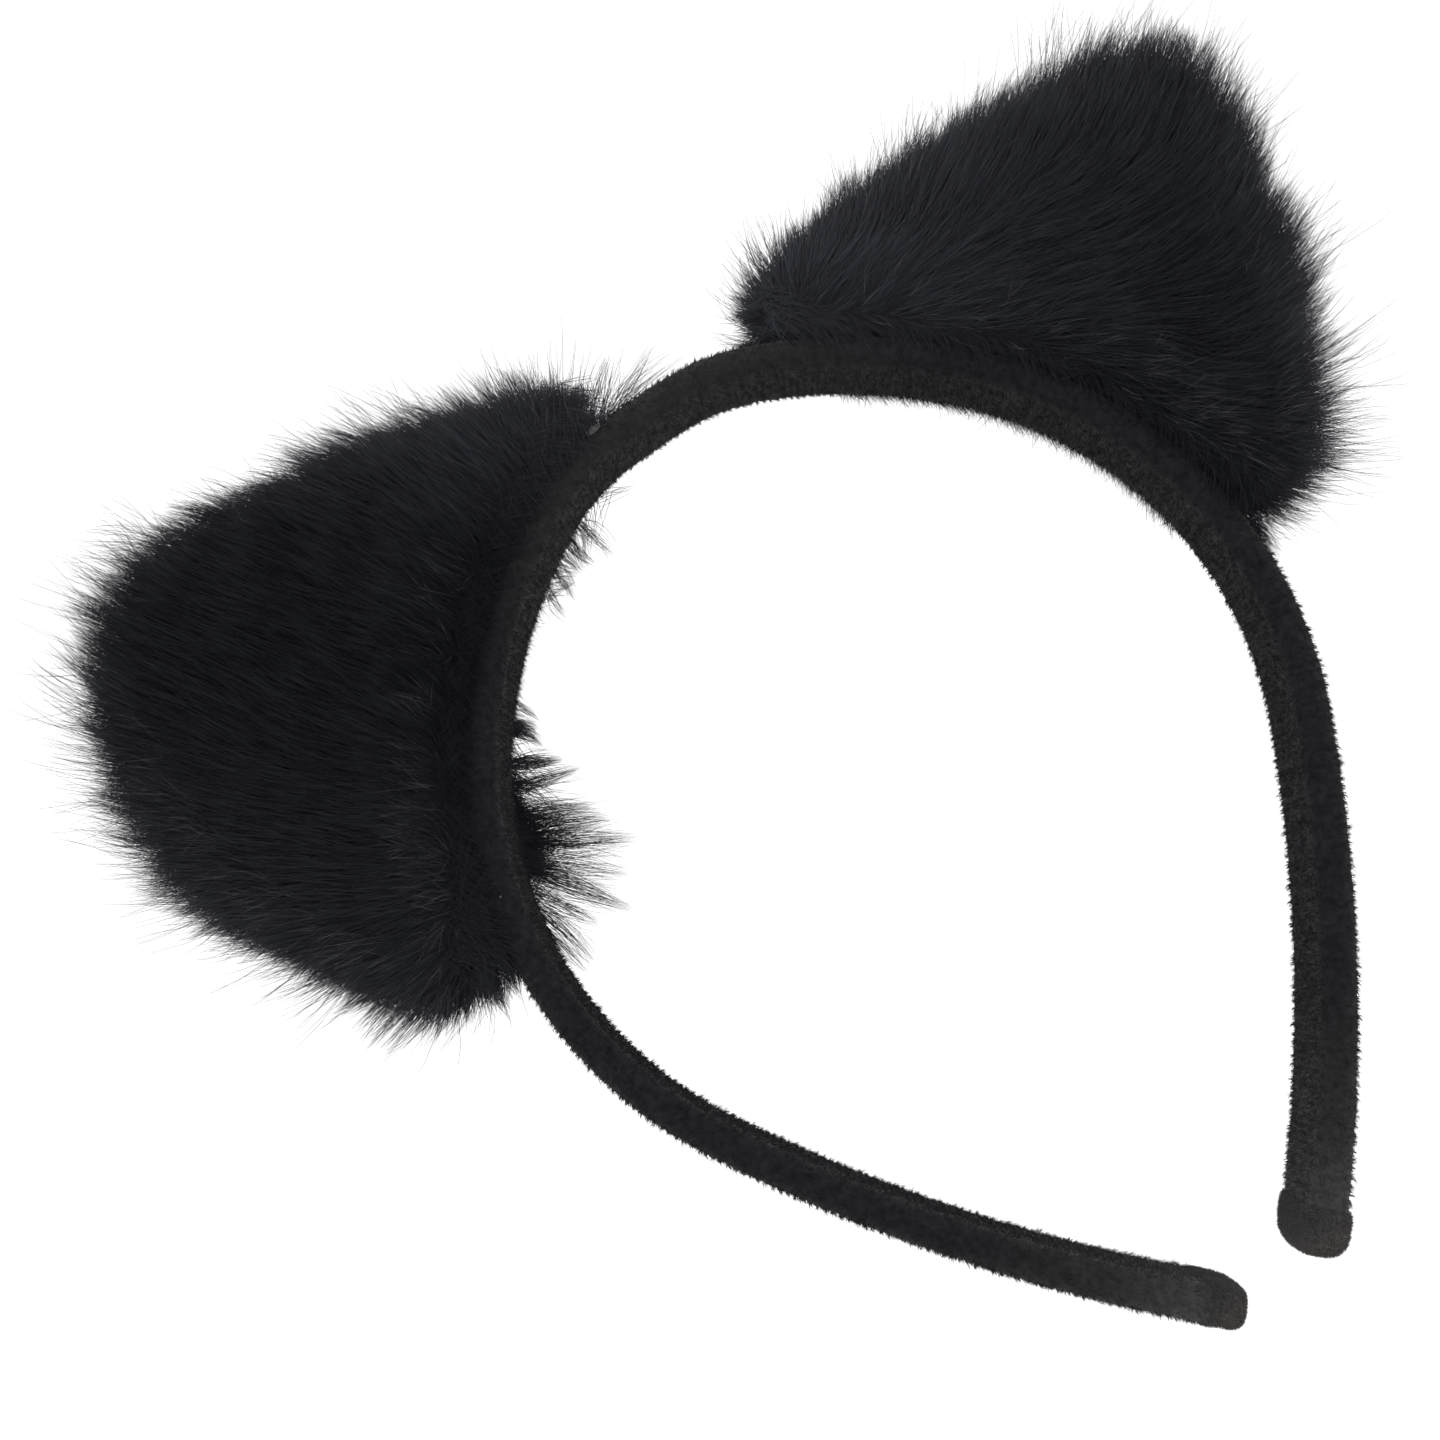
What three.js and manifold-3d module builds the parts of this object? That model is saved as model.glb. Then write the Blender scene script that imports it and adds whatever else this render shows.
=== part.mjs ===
// Cat-ear headband: a sprung plastic hoop in a velour sleeve, with two long-pile faux-fur ears.
// Units are millimetres. +Z is up, X runs across the head and -Y is the wearer's front.
// The origin is the middle of the crown's inner face, where the band rests on the head.
import * as THREE from 'three';
import { mergeVertices } from 'three/addons/utils/BufferGeometryUtils.js';
import Module from 'manifold-3d';

const wasm = await Module();
wasm.setup();

// ---- Driving dimensions ----

const BAND_WIDTH = 12.5; // front to back, over the sleeve
const BAND_THICKNESS = 4.2; // inner face to outer face, over the sleeve
const SLEEVE_WALL = 0.8;
const FIT_GAP = 0.3; // left between pieces that touch
const JOINT_GAP = 0.4; // left between two stretches of band where the hoop flexes

// The inner face from the middle of the crown to one tip: a short flat, then arcs that run into
// each other. Both halves are alike.
const HOOP_ARCS = [
  { radius: Infinity, length: 3.5 }, // crown flat
  { radius: 31.4, length: 14.4 }, // crown
  { radius: 73, length: 35.8 }, // shoulder
  { radius: 56.3, length: 64 }, // cheek
  { radius: 231.5, length: 70.8 }, // arm
];
const HALF_LENGTH = HOOP_ARCS.reduce((sum, arc) => sum + arc.length, 0);

// Distances along the inner face from the middle of the crown. side is +1 towards +X and -1
// towards -X. The -X ear sits nearer to the crown and has the blunter tip.
const SIDES = [
  {
    name: 'right',
    side: 1,
    crownJoint: 17.5,
    armJoint: 90,
    ear: {
      from: 18.6,
      to: 88,
      crownHalf: 41,
      cheekHalf: 43.5,
      height: 63.5,
      tipShift: 6,
      tipRadius: 10,
      crownBulge: [-29, 40.4],
      cheekBulge: [35.5, 41.5],
    },
  },
  {
    name: 'left',
    side: -1,
    crownJoint: 3.5,
    armJoint: 83,
    ear: {
      from: 4.6,
      to: 81,
      crownHalf: 43.5,
      cheekHalf: 49.5,
      height: 66.5,
      tipShift: 6,
      tipRadius: 26,
      crownBulge: [-31.5, 36],
      cheekBulge: [45.9, 47.1],
    },
  },
];

// Each ear is a rounded triangle in its own frame: crownHalf and cheekHalf are its half widths at
// the two base corners, height and tipShift place the tip, and the bulges are the control points
// of its two curved sides.
const EAR_CORNER_HEIGHT = 10; // where the base corners are widest
const EAR_BASE_MARGIN = 2.5; // from the ear's end on the band to where its corner lifts off
const EAR_CURVE_SEGMENTS = 7;
const FUR_THICKNESS = 9; // fabric and pile of one panel
const FUR_EDGE_ROUND = 3;
const STIFFENER_THICKNESS = 2;
const STIFFENER_INSET = 6; // from the fur's outline
const SEAM_INSET = 3;
const THREAD_RADIUS = 0.4;
const GLUE_BEAD_WIDTH = 6;
const GLUE_BEAD_THICKNESS = 0.7;
const GLUE_END_MARGIN = 4; // bead stops short of the ear's corners
const FLAP_WIDTH = 3; // front to back
const FLAP_INSET = 1; // outside the band's inner face
const FLAP_START_MARGIN = 10; // from the ear's crown corner
const FLAP_END_MARGIN = 3; // from its cheek corner

const TIP_WRAP_LENGTH = 6.5;
const TIP_END_DEPTH = 3; // length of the blunt, rounded end, without its rounded edge
const TIP_EDGE_ROUND = 1.4;
const TIP_WRAP_GAP = 0.25;
const TIP_WRAP_WALL = 0.4;
const SLEEVE_END_MARGIN = 4.5; // the sleeve stops this far from the tip, inside the wrap

const STEP = 5; // length of one facet along the band
const BAND_CORNER_SEGMENTS = 1;
const COLORS = { plastic: 0x17171a, velour: 0x141416, fur: 0x0a0a0c, felt: 0x1c1c1f, thread: 0x0c0c0e };

// ---- The hoop's line ----

// The point at distance s along the inner face (negative on the left half), moved outward by
// offset, with the unit tangent away from the crown and the unit outward normal.
function onHoop(s, offset = 0) {
  let x = 0;
  let z = 0;
  let angle = 0;
  let left = Math.abs(s);
  for (const [index, arc] of HOOP_ARCS.entries()) {
    const isLast = index === HOOP_ARCS.length - 1;
    const run = isLast ? left : Math.min(left, arc.length);
    const turn = run / arc.radius;
    if (Number.isFinite(arc.radius)) {
      x += arc.radius * (Math.sin(angle + turn) - Math.sin(angle));
      z += arc.radius * (Math.cos(angle + turn) - Math.cos(angle));
    } else {
      x += run;
    }
    angle += turn;
    left -= run;
    if (left <= 0) break;
  }
  const side = Math.sign(s) || 1;
  const normal = new THREE.Vector2(side * Math.sin(angle), Math.cos(angle));
  const tangent = new THREE.Vector2(side * Math.cos(angle), -Math.sin(angle));
  const point = new THREE.Vector2(side * x, z).addScaledVector(normal, offset);
  return { point, normal, tangent };
}

class HoopLine extends THREE.Curve {
  constructor(from, to, offset) {
    super();
    this.from = from;
    this.to = to;
    this.offset = offset;
  }

  getPoint(t, target = new THREE.Vector3()) {
    const { point } = onHoop(THREE.MathUtils.lerp(this.from, this.to, t), this.offset);
    return target.set(point.x, 0, point.y);
  }

  // The section's width always lies front to back, so the frames never twist.
  computeFrenetFrames(segments) {
    const frames = { tangents: [], normals: [], binormals: [] };
    for (let i = 0; i <= segments; i += 1) {
      const tangent = this.getTangentAt(i / segments);
      const normal = new THREE.Vector3(0, 1, 0);
      frames.tangents.push(tangent);
      frames.normals.push(normal);
      frames.binormals.push(new THREE.Vector3().crossVectors(tangent, normal));
    }
    return frames;
  }
}

// ---- Shapes ----

function roundedBar(width, thickness, radius, path = new THREE.Shape()) {
  const x = width / 2 - radius;
  const y = thickness / 2 - radius;
  path.absarc(x, y, radius, 0, Math.PI / 2);
  path.absarc(-x, y, radius, Math.PI / 2, Math.PI);
  path.absarc(-x, -y, radius, Math.PI, 1.5 * Math.PI);
  path.absarc(x, -y, radius, 1.5 * Math.PI, 2 * Math.PI);
  return path;
}

// A section swept along the band from one distance to another, centred on the given offset.
function sweepAlongBand(section, from, to, offset) {
  const steps = Math.max(1, Math.round(Math.abs(to - from) / STEP));
  return new THREE.ExtrudeGeometry(section, {
    extrudePath: new HoopLine(from, to, offset),
    steps,
    curveSegments: BAND_CORNER_SEGMENTS,
  });
}

function material(color, roughness) {
  return new THREE.MeshStandardMaterial({ color, roughness, metalness: 0 });
}

function piece(name, geometry, surface) {
  const mesh = new THREE.Mesh(geometry, surface);
  mesh.name = name;
  return mesh;
}

// ---- Band ----

function sleeve(from, to) {
  const section = roundedBar(BAND_WIDTH, BAND_THICKNESS, 1.6);
  const inside = roundedBar(
    BAND_WIDTH - 2 * SLEEVE_WALL,
    BAND_THICKNESS - 2 * SLEEVE_WALL,
    0.9,
    new THREE.Path(),
  );
  section.holes.push(inside);
  return sweepAlongBand(section, from, to, BAND_THICKNESS / 2);
}

function hoop(from, to) {
  const inset = 2 * (SLEEVE_WALL + FIT_GAP);
  const section = roundedBar(BAND_WIDTH - inset, BAND_THICKNESS - inset, 0.6);
  return sweepAlongBand(section, from, to, BAND_THICKNESS / 2);
}

function bandStretch(name, from, to) {
  return [
    piece(`${name}_hoop`, hoop(from, to), material(COLORS.plastic, 0.45)),
    piece(`${name}_sleeve`, sleeve(from, to), material(COLORS.velour, 0.95)),
  ];
}

// ---- Tip wrap: a rounded fabric cup glued over the end of the sleeve ----

function toManifold(geometry) {
  const bare = geometry.clone();
  bare.deleteAttribute('normal');
  bare.deleteAttribute('uv');
  const merged = mergeVertices(bare.index ? bare.toNonIndexed() : bare, 1e-4);
  return new wasm.Manifold(
    new wasm.Mesh({
      numProp: 3,
      vertProperties: new Float32Array(merged.attributes.position.array),
      triVerts: new Uint32Array(merged.index.array),
    }),
  );
}

function fromManifold(solid) {
  const mesh = solid.getMesh();
  const geometry = new THREE.BufferGeometry();
  geometry.setAttribute('position', new THREE.BufferAttribute(mesh.vertProperties, 3));
  geometry.setIndex(new THREE.BufferAttribute(mesh.triVerts, 1));
  geometry.computeVertexNormals();
  return geometry;
}

// A flat bar with rounded edges and one blunt, rounded end.
function tongue(width, thickness, length) {
  const round = TIP_EDGE_ROUND;
  const halfWidth = width / 2 - round;
  const endStart = length - TIP_END_DEPTH - round;
  const outline = new THREE.Shape();
  outline.moveTo(round, -halfWidth);
  outline.lineTo(endStart, -halfWidth);
  outline.absellipse(endStart, 0, TIP_END_DEPTH, halfWidth, -Math.PI / 2, Math.PI / 2);
  outline.lineTo(round, halfWidth);
  const geometry = new THREE.ExtrudeGeometry(outline, {
    depth: thickness - 2 * round,
    bevelThickness: round,
    bevelSize: round,
    bevelSegments: 2,
    curveSegments: 10,
  });
  return geometry.translate(0, 0, round - thickness / 2);
}

function tipWrap(side) {
  const grow = 2 * (TIP_WRAP_GAP + TIP_WRAP_WALL);
  const start = HALF_LENGTH - TIP_WRAP_LENGTH;
  const { point, normal, tangent } = onHoop(side * start, BAND_THICKNESS / 2);
  const outer = tongue(BAND_WIDTH + grow, BAND_THICKNESS + grow, TIP_WRAP_LENGTH);
  outer.applyMatrix4(
    new THREE.Matrix4()
      .makeBasis(
        new THREE.Vector3(tangent.x, 0, tangent.y),
        new THREE.Vector3(0, side, 0),
        new THREE.Vector3(normal.x, 0, normal.y),
      )
      .setPosition(point.x, 0, point.y),
  );
  const pocketSection = roundedBar(
    BAND_WIDTH + 2 * TIP_WRAP_GAP,
    BAND_THICKNESS + 2 * TIP_WRAP_GAP,
    1.6 + TIP_WRAP_GAP,
  );
  const pocket = sweepAlongBand(
    pocketSection,
    side * (start - 2),
    side * (HALF_LENGTH - SLEEVE_END_MARGIN + TIP_WRAP_GAP),
    BAND_THICKNESS / 2,
  );
  return fromManifold(toManifold(outer).subtract(toManifold(pocket)));
}

// ---- Ears ----

// An ear's own frame lies on the chord between its two base corners: u runs along the chord from
// the crown to the cheek, v points away from the head and the third axis runs front to back.
function earFrame({ side, ear }) {
  const start = onHoop(side * ear.from, BAND_THICKNESS).point;
  const end = onHoop(side * ear.to, BAND_THICKNESS).point;
  const u = end.clone().sub(start).normalize();
  const v = new THREE.Vector2(-side * u.y, side * u.x);
  const middle = start.clone().add(end).multiplyScalar(0.5);
  return { u, v, middle };
}

function placeEar(group, { u, v, middle }, side) {
  const basis = new THREE.Matrix4().makeBasis(
    new THREE.Vector3(u.x, 0, u.y),
    new THREE.Vector3(v.x, 0, v.y),
    new THREE.Vector3(0, -side, 0),
  );
  group.setRotationFromMatrix(basis);
  group.position.set(middle.x, 0, middle.y);
}

// The base edge follows the band at the given clearance from its outer face.
function baseEdge({ side, ear }, frame, clearance, inset) {
  const points = [];
  const margin = EAR_BASE_MARGIN + inset;
  const count = Math.round((ear.to - ear.from) / STEP);
  for (let i = 0; i <= count; i += 1) {
    const s = THREE.MathUtils.lerp(ear.from + margin, ear.to - margin, i / count);
    const offset = onHoop(side * s, BAND_THICKNESS + clearance).point.sub(frame.middle);
    points.push(new THREE.Vector2(offset.dot(frame.u), offset.dot(frame.v)));
  }
  return points;
}

// The angle on a round tip at which a straight line from a point outside it just touches it.
function touchAngle(tip, radius, point, turn) {
  const away = point.clone().sub(tip);
  return away.angle() + turn * Math.acos(radius / away.length());
}

// The rounded triangle above the base: up the cheek side, over the tip and down the crown side.
function traceSides(path, { ear }, inset) {
  const radius = ear.tipRadius - inset / 2;
  const tip = new THREE.Vector2(ear.tipShift, ear.height - inset - radius);
  const shrink = 1 - inset / ear.cheekHalf;
  const cheek = new THREE.Vector2(...ear.cheekBulge).multiplyScalar(shrink);
  const crown = new THREE.Vector2(...ear.crownBulge).multiplyScalar(shrink);
  const start = touchAngle(tip, radius, cheek, 1);
  const end = touchAngle(tip, radius, crown, -1);
  const startX = tip.x + radius * Math.cos(start);
  const startY = tip.y + radius * Math.sin(start);
  path.quadraticCurveTo(cheek.x, cheek.y, startX, startY);
  path.absarc(tip.x, tip.y, radius, start, end);
  path.quadraticCurveTo(crown.x, crown.y, inset - ear.crownHalf, EAR_CORNER_HEIGHT);
}

function earOutline(spec, frame, clearance, inset) {
  const cheekHalf = spec.ear.cheekHalf - inset;
  const crownHalf = spec.ear.crownHalf - inset;
  const base = baseEdge(spec, frame, clearance, inset);
  const first = base[0];
  const last = base[base.length - 1];
  const path = new THREE.Path(base);
  path.quadraticCurveTo(cheekHalf, last.y, cheekHalf, EAR_CORNER_HEIGHT);
  traceSides(path, spec, inset);
  path.quadraticCurveTo(-crownHalf, first.y, first.x, first.y);
  const points = path.getPoints(EAR_CURVE_SEGMENTS);
  points.pop(); // the last point repeats the first
  return new THREE.Shape(points);
}

function furPanel(spec, frame, facing) {
  const clearance = GLUE_BEAD_THICKNESS + 2 * FIT_GAP;
  const depth = FUR_THICKNESS - 2 * FUR_EDGE_ROUND;
  const geometry = new THREE.ExtrudeGeometry(earOutline(spec, frame, clearance, 0), {
    depth,
    bevelThickness: FUR_EDGE_ROUND,
    bevelSize: FUR_EDGE_ROUND,
    bevelOffset: -FUR_EDGE_ROUND,
    bevelSegments: 2,
  });
  const middle = STIFFENER_THICKNESS / 2 + FIT_GAP + FUR_THICKNESS / 2;
  return geometry.translate(0, 0, facing * middle - depth / 2);
}

function stiffener(spec, frame) {
  const clearance = GLUE_BEAD_THICKNESS + 2 * FIT_GAP;
  const geometry = new THREE.ExtrudeGeometry(
    earOutline(spec, frame, clearance, STIFFENER_INSET),
    { depth: STIFFENER_THICKNESS, bevelEnabled: false },
  );
  return geometry.translate(0, 0, -STIFFENER_THICKNESS / 2);
}

// One thread runs up one side of the ear, over the tip and down the other, between the panels.
function seamThread(spec) {
  const outline = new THREE.Path();
  outline.moveTo(spec.ear.cheekHalf - SEAM_INSET, EAR_CORNER_HEIGHT);
  traceSides(outline, spec, SEAM_INSET);
  const stitches = outline.getSpacedPoints(24).map((p) => new THREE.Vector3(p.x, p.y, 0));
  const section = new THREE.Shape().absarc(0, 0, THREAD_RADIUS, 0, 2 * Math.PI);
  return new THREE.ExtrudeGeometry(section, {
    extrudePath: new THREE.CatmullRomCurve3(stitches),
    steps: 32,
    curveSegments: 3,
  });
}

function earPieces(spec) {
  const { name, side } = spec;
  const frame = earFrame(spec);
  const group = new THREE.Group();
  placeEar(group, frame, side);
  const fur = material(COLORS.fur, 0.9);
  group.add(
    piece(`${name}_ear_front_fur`, furPanel(spec, frame, side), fur),
    piece(`${name}_ear_back_fur`, furPanel(spec, frame, -side), fur.clone()),
    piece(`${name}_ear_stiffener`, stiffener(spec, frame), material(COLORS.felt, 0.95)),
    piece(`${name}_ear_seam`, seamThread(spec), material(COLORS.thread, 0.7)),
  );
  return group;
}

// The glue bead lies along the band's outer face, under the ear.
function baseGlue({ name, side, ear }) {
  const section = roundedBar(GLUE_BEAD_WIDTH, GLUE_BEAD_THICKNESS, 0.25);
  const geometry = sweepAlongBand(
    section,
    side * (ear.from + GLUE_END_MARGIN),
    side * (ear.to - GLUE_END_MARGIN),
    BAND_THICKNESS + FIT_GAP + GLUE_BEAD_THICKNESS / 2,
  );
  return piece(`${name}_ear_base_glue`, geometry, glueMaterial());
}

// The back panel's hem turns down behind the band's rear edge.
function rearFlap({ name, side, ear }) {
  const height = BAND_THICKNESS + GLUE_BEAD_THICKNESS - FLAP_INSET;
  const section = roundedBar(FLAP_WIDTH, height, 1);
  const geometry = sweepAlongBand(
    section,
    side * (ear.from + FLAP_START_MARGIN),
    side * (ear.to - FLAP_END_MARGIN),
    FLAP_INSET + height / 2,
  );
  const flap = piece(`${name}_ear_rear_flap`, geometry, material(COLORS.fur, 0.9));
  flap.position.y = BAND_WIDTH / 2 + FIT_GAP + FLAP_WIDTH / 2;
  return flap;
}

function glueMaterial() {
  return new THREE.MeshStandardMaterial({
    color: 0xcfcfc8,
    roughness: 0.3,
    metalness: 0,
    transparent: true,
    opacity: 0.6,
  });
}

// A drop of glue squeezed out on the band's front edge.
function glueDrop(name, s, radius, offset) {
  const geometry = new THREE.SphereGeometry(radius, 10, 8);
  const { point } = onHoop(s, offset);
  const drop = piece(name, geometry, glueMaterial());
  drop.position.set(point.x, -(BAND_WIDTH / 2 + FIT_GAP + radius), point.y);
  return drop;
}

// ---- Assembly ----

function buildSide(spec) {
  const { name, side, crownJoint, armJoint } = spec;
  const halfGap = JOINT_GAP / 2;
  return [
    ...bandStretch(`${name}_side`, side * (crownJoint + halfGap), side * (armJoint - halfGap)),
    ...bandStretch(
      `${name}_arm`,
      side * (armJoint + halfGap),
      side * (HALF_LENGTH - SLEEVE_END_MARGIN),
    ),
    piece(`${name}_tip_wrap`, tipWrap(side), material(COLORS.velour, 0.95)),
    earPieces(spec),
    baseGlue(spec),
    rearFlap(spec),
  ];
}

const headband = new THREE.Group();
const [rightSide, leftSide] = SIDES;
headband.add(
  ...bandStretch('crown', -leftSide.crownJoint + JOINT_GAP / 2, rightSide.crownJoint - JOINT_GAP / 2),
  ...buildSide(rightSide),
  ...buildSide(leftSide),
  glueDrop('left_ear_glue_blob', -(leftSide.ear.from + 1.5), 0.9, BAND_THICKNESS),
  glueDrop('left_ear_glue_dot', -(leftSide.ear.to - 6), 0.4, BAND_THICKNESS / 2),
);

export default headband;
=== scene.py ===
"""Looks of the cat-ear headband: velour over the hoop, long-pile faux-fur ears, hot glue, camera and light.
Lengths are millimetres until a mesh is made. +Z is up, X runs across the head and -Y is the wearer's front."""
import math
import bpy
import numpy as np
from mathutils import Matrix, Vector


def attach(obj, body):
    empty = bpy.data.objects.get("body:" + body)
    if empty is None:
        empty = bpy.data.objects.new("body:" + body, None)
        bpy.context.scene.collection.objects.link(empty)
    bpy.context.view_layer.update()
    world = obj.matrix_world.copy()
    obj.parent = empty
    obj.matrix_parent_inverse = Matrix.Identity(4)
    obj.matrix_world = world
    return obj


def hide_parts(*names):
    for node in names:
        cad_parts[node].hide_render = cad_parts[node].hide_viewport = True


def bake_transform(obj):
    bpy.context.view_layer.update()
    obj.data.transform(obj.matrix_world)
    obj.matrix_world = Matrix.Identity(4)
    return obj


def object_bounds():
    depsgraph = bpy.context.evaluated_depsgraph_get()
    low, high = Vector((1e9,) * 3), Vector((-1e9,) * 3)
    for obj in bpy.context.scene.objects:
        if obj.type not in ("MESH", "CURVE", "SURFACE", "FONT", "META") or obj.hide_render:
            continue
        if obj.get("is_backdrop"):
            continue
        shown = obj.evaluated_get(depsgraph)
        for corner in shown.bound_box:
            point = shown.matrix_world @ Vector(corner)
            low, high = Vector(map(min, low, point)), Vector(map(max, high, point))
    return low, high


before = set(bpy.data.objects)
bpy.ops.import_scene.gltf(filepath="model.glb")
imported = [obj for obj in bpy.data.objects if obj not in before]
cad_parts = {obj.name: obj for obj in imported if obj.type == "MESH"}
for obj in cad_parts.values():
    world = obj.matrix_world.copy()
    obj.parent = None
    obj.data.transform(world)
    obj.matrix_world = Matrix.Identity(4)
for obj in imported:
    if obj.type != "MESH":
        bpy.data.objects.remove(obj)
size = {"cad": [list(corner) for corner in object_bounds()]}

MM = 0.001
FRONT, BACK = -1.0, 1.0

# ---- Dimensions shared with the CAD ----

HOOP_ARCS = [(math.inf, 3.5), (31.4, 14.4), (73.0, 35.8), (56.3, 64.0), (231.5, 70.8)]
HALF_LENGTH = sum(length for _, length in HOOP_ARCS)
BAND_WIDTH = 12.5
BAND_THICKNESS = 4.2
SLEEVE_END = HALF_LENGTH - 4.5
TIP_LENGTH = 6.5
PANEL_GAP = 1.3  # from the ear's middle plane to the inner face of a fur panel

EARS = {
    "right": {
        "side": 1, "start": 18.6, "end": 88.0,
        "crown_half": 41.0, "cheek_half": 43.5, "height": 63.5,
        "tip_radius": 10.0, "crown_bulge": (-29.0, 40.4), "cheek_bulge": (35.5, 41.5),
        # Where the pile lies which way: (u, v, degrees from the chord, how far it stands out past the edge).
        "lay": [
            (-38, 20, 126, 0.8), (-30, 30, 122, 0.8), (-24, 37, 104, 1.8), (-18, 47, 97, 5.5),
            (-14, 51, 92, 6), (-7, 55, 92, 5.4), (-1, 61, 98, 4.8), (8, 63, 92, 3.9), (14, 59, 88, 4.5),
            (19, 57, 86, 6.5), (27, 49, 86, 10.3), (32, 41, 82, 11), (37, 32, 72, 10.5), (40, 23, 50, 9),
            (41, 15, 42, 6.5), (44, 8, 20, 8.4), (43, 3, 12, 9.8), (40, -3, -50, 7), (-40, 12, 122, 0.4),
            (-41, 5, 178, 5.2), (-39, 1, -165, 5), (-28, 9, 67, 4), (-4, 18, 31, 4), (-4, 28, 37, 4),
            (7, 33, 45, 4), (-19, 29, 80, 4), (-8, 41, 86, 4), (5, 46, 90, 4), (23, 39, 92, 4),
            (32, 22, 74, 4), (15, 16, -6, 4), (30, 5, -14, 4), (37, 4, 0, 4), (-13, 11, 25, 4),
        ],
    },
    "left": {
        "side": -1, "start": 4.6, "end": 81.0,
        "crown_half": 43.5, "cheek_half": 49.5, "height": 66.5,
        "tip_radius": 26.0, "crown_bulge": (-31.5, 36.0), "cheek_bulge": (45.9, 47.1),
        "lay": [
            (-33, 35, 108, 6.5), (-26, 44, 98, 5.8), (-20, 53, 103, 7), (-15, 61, 105, 8), (-9, 65, 128, 8.2),
            (-2, 67, 109, 9.8), (2, 66, 111, 8), (8, 65, 112, 8), (13, 62, 112, 8.5), (20, 59, 97, 7.4),
            (25, 58, 84, 6.2), (32, 53, 88, 8.8), (37, 48, 84, 11), (42, 42, 72, 10.5), (47, 33, 52, 5.3),
            (49, 21, 34, 2.5), (50, 6, 10, 4.2), (46, 0, -40, 6.5), (-42, 8, 159, 1.8), (-41, 2, -164, 4),
            (-38, 20, 113, 3.0), (-36, 27, 104, 6.2), (-27, 20, 115, 4), (-17, 36, 101, 4), (-9, 52, 103, 4),
            (-11, 19, 110, 4), (-2, 35, 98, 4), (3, 53, 100, 4), (9, 15, 108, 4), (12, 35, 112, 4),
            (12, 55, 112, 4), (29, 21, 92, 4), (26, 40, 100, 4), (40, 12, 58, 4), (39, 26, 75, 4),
            (26, 7, 86, 4),
        ],
    },
}
TIP_SHIFT = 6.0
CORNER_HEIGHT = 10.0
BASE_MARGIN = 2.5
BASE_CLEARANCE = 1.3
BASE_POINTS = 60
FIELD_CELL = 0.5

# ---- Looks ----

PANEL_HEIGHT = 5.4  # of the dense under-fur at the middle of a panel
PANEL_ROUND = 9.0  # how far in from its edge a panel reaches that height
PANEL_INSET = 3.0  # the under-fur's edge inside the ear's outline
HAIRS = 8800  # in one batch, on one face of one ear
STRAY_HAIRS = 2600  # long sparse ones round the edges
FUZZ_TRIED, FUZZ_KEPT = 9000, 6500  # pale fuzz, most of it on the cheek side
RIM_HAIRS = 9000  # between the two panels of an ear
RIM_WIDTH = 3.0  # how far they start from the ear's middle plane
PILE_DENSITY = 400  # velour fibres on each millimetre of the band
PILE_BATCH = 21000  # the most fibres in one piece
TIP_PILE = 12000  # fibres tried on each tip, thinned where the cup is small
SLEEVE_STEP = 0.3
SLEEVE_COLUMNS = 56
VELOUR_LIFT = 0.25  # how far the velour's ground stands out from the hoop's section
SLEEVE_CORNER = 2.0
RIB_PITCH = 1.05
TIP_ROUND = 4.4  # length of a tip's blunt, rounded end
TIP_REACH = -0.2  # how far a tip reaches past the end of the hoop's line


CAD_LOW, CAD_HIGH = (np.array(corner) / MM for corner in size["cad"])
ROOM = 9.6 + 0.03 * (CAD_HIGH - CAD_LOW)  # how far past the CAD's box a hair may reach

# ---- Geometry helpers ----


def hoop(s, offset=0.0):
    """Points at distances s along the hoop's inner face, moved outward by offset, with the outward normals and
    the tangents away from the crown."""
    s = np.asarray(s, float)
    side = np.where(s < 0, -1.0, 1.0)
    left = np.abs(s)
    x, z, angle = np.zeros_like(s), np.zeros_like(s), np.zeros_like(s)
    for index, (radius, length) in enumerate(HOOP_ARCS):
        run = left if index == len(HOOP_ARCS) - 1 else np.minimum(left, length)
        if math.isinf(radius):
            x = x + run
        else:
            turn = run / radius
            x = x + radius * (np.sin(angle + turn) - np.sin(angle))
            z = z + radius * (np.cos(angle + turn) - np.cos(angle))
            angle = angle + turn
        left = left - run
    nothing = np.zeros_like(s)
    normals = np.stack([side * np.sin(angle), nothing, np.cos(angle)], -1)
    tangents = np.stack([side * np.cos(angle), nothing, -np.sin(angle)], -1)
    points = np.stack([side * x, nothing, z], -1) + np.asarray(offset)[..., None] * normals
    return points, normals, tangents


def add_object(name, data):
    made = bpy.data.objects.new(name, data)
    bpy.context.scene.collection.objects.link(made)
    return made


def new_mesh(name, vertices, faces):
    """An object from millimetre vertices and face arrays of three or four columns."""
    mesh = bpy.data.meshes.new(name)
    mesh.vertices.add(len(vertices))
    mesh.vertices.foreach_set("co", (np.asarray(vertices) * MM).astype(np.float32).ravel())
    loops = np.concatenate([f.ravel() for f in faces]).astype(np.int32)
    totals = np.concatenate([np.full(len(f), f.shape[1]) for f in faces])
    starts = np.concatenate([[0], np.cumsum(totals)[:-1]]).astype(np.int32)
    mesh.loops.add(len(loops))
    mesh.loops.foreach_set("vertex_index", loops)
    mesh.polygons.add(len(totals))
    mesh.polygons.foreach_set("loop_start", starts)
    mesh.polygons.foreach_set("use_smooth", np.ones(len(totals), bool))
    mesh.update(calc_edges=True)
    return add_object(name, mesh)


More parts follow.
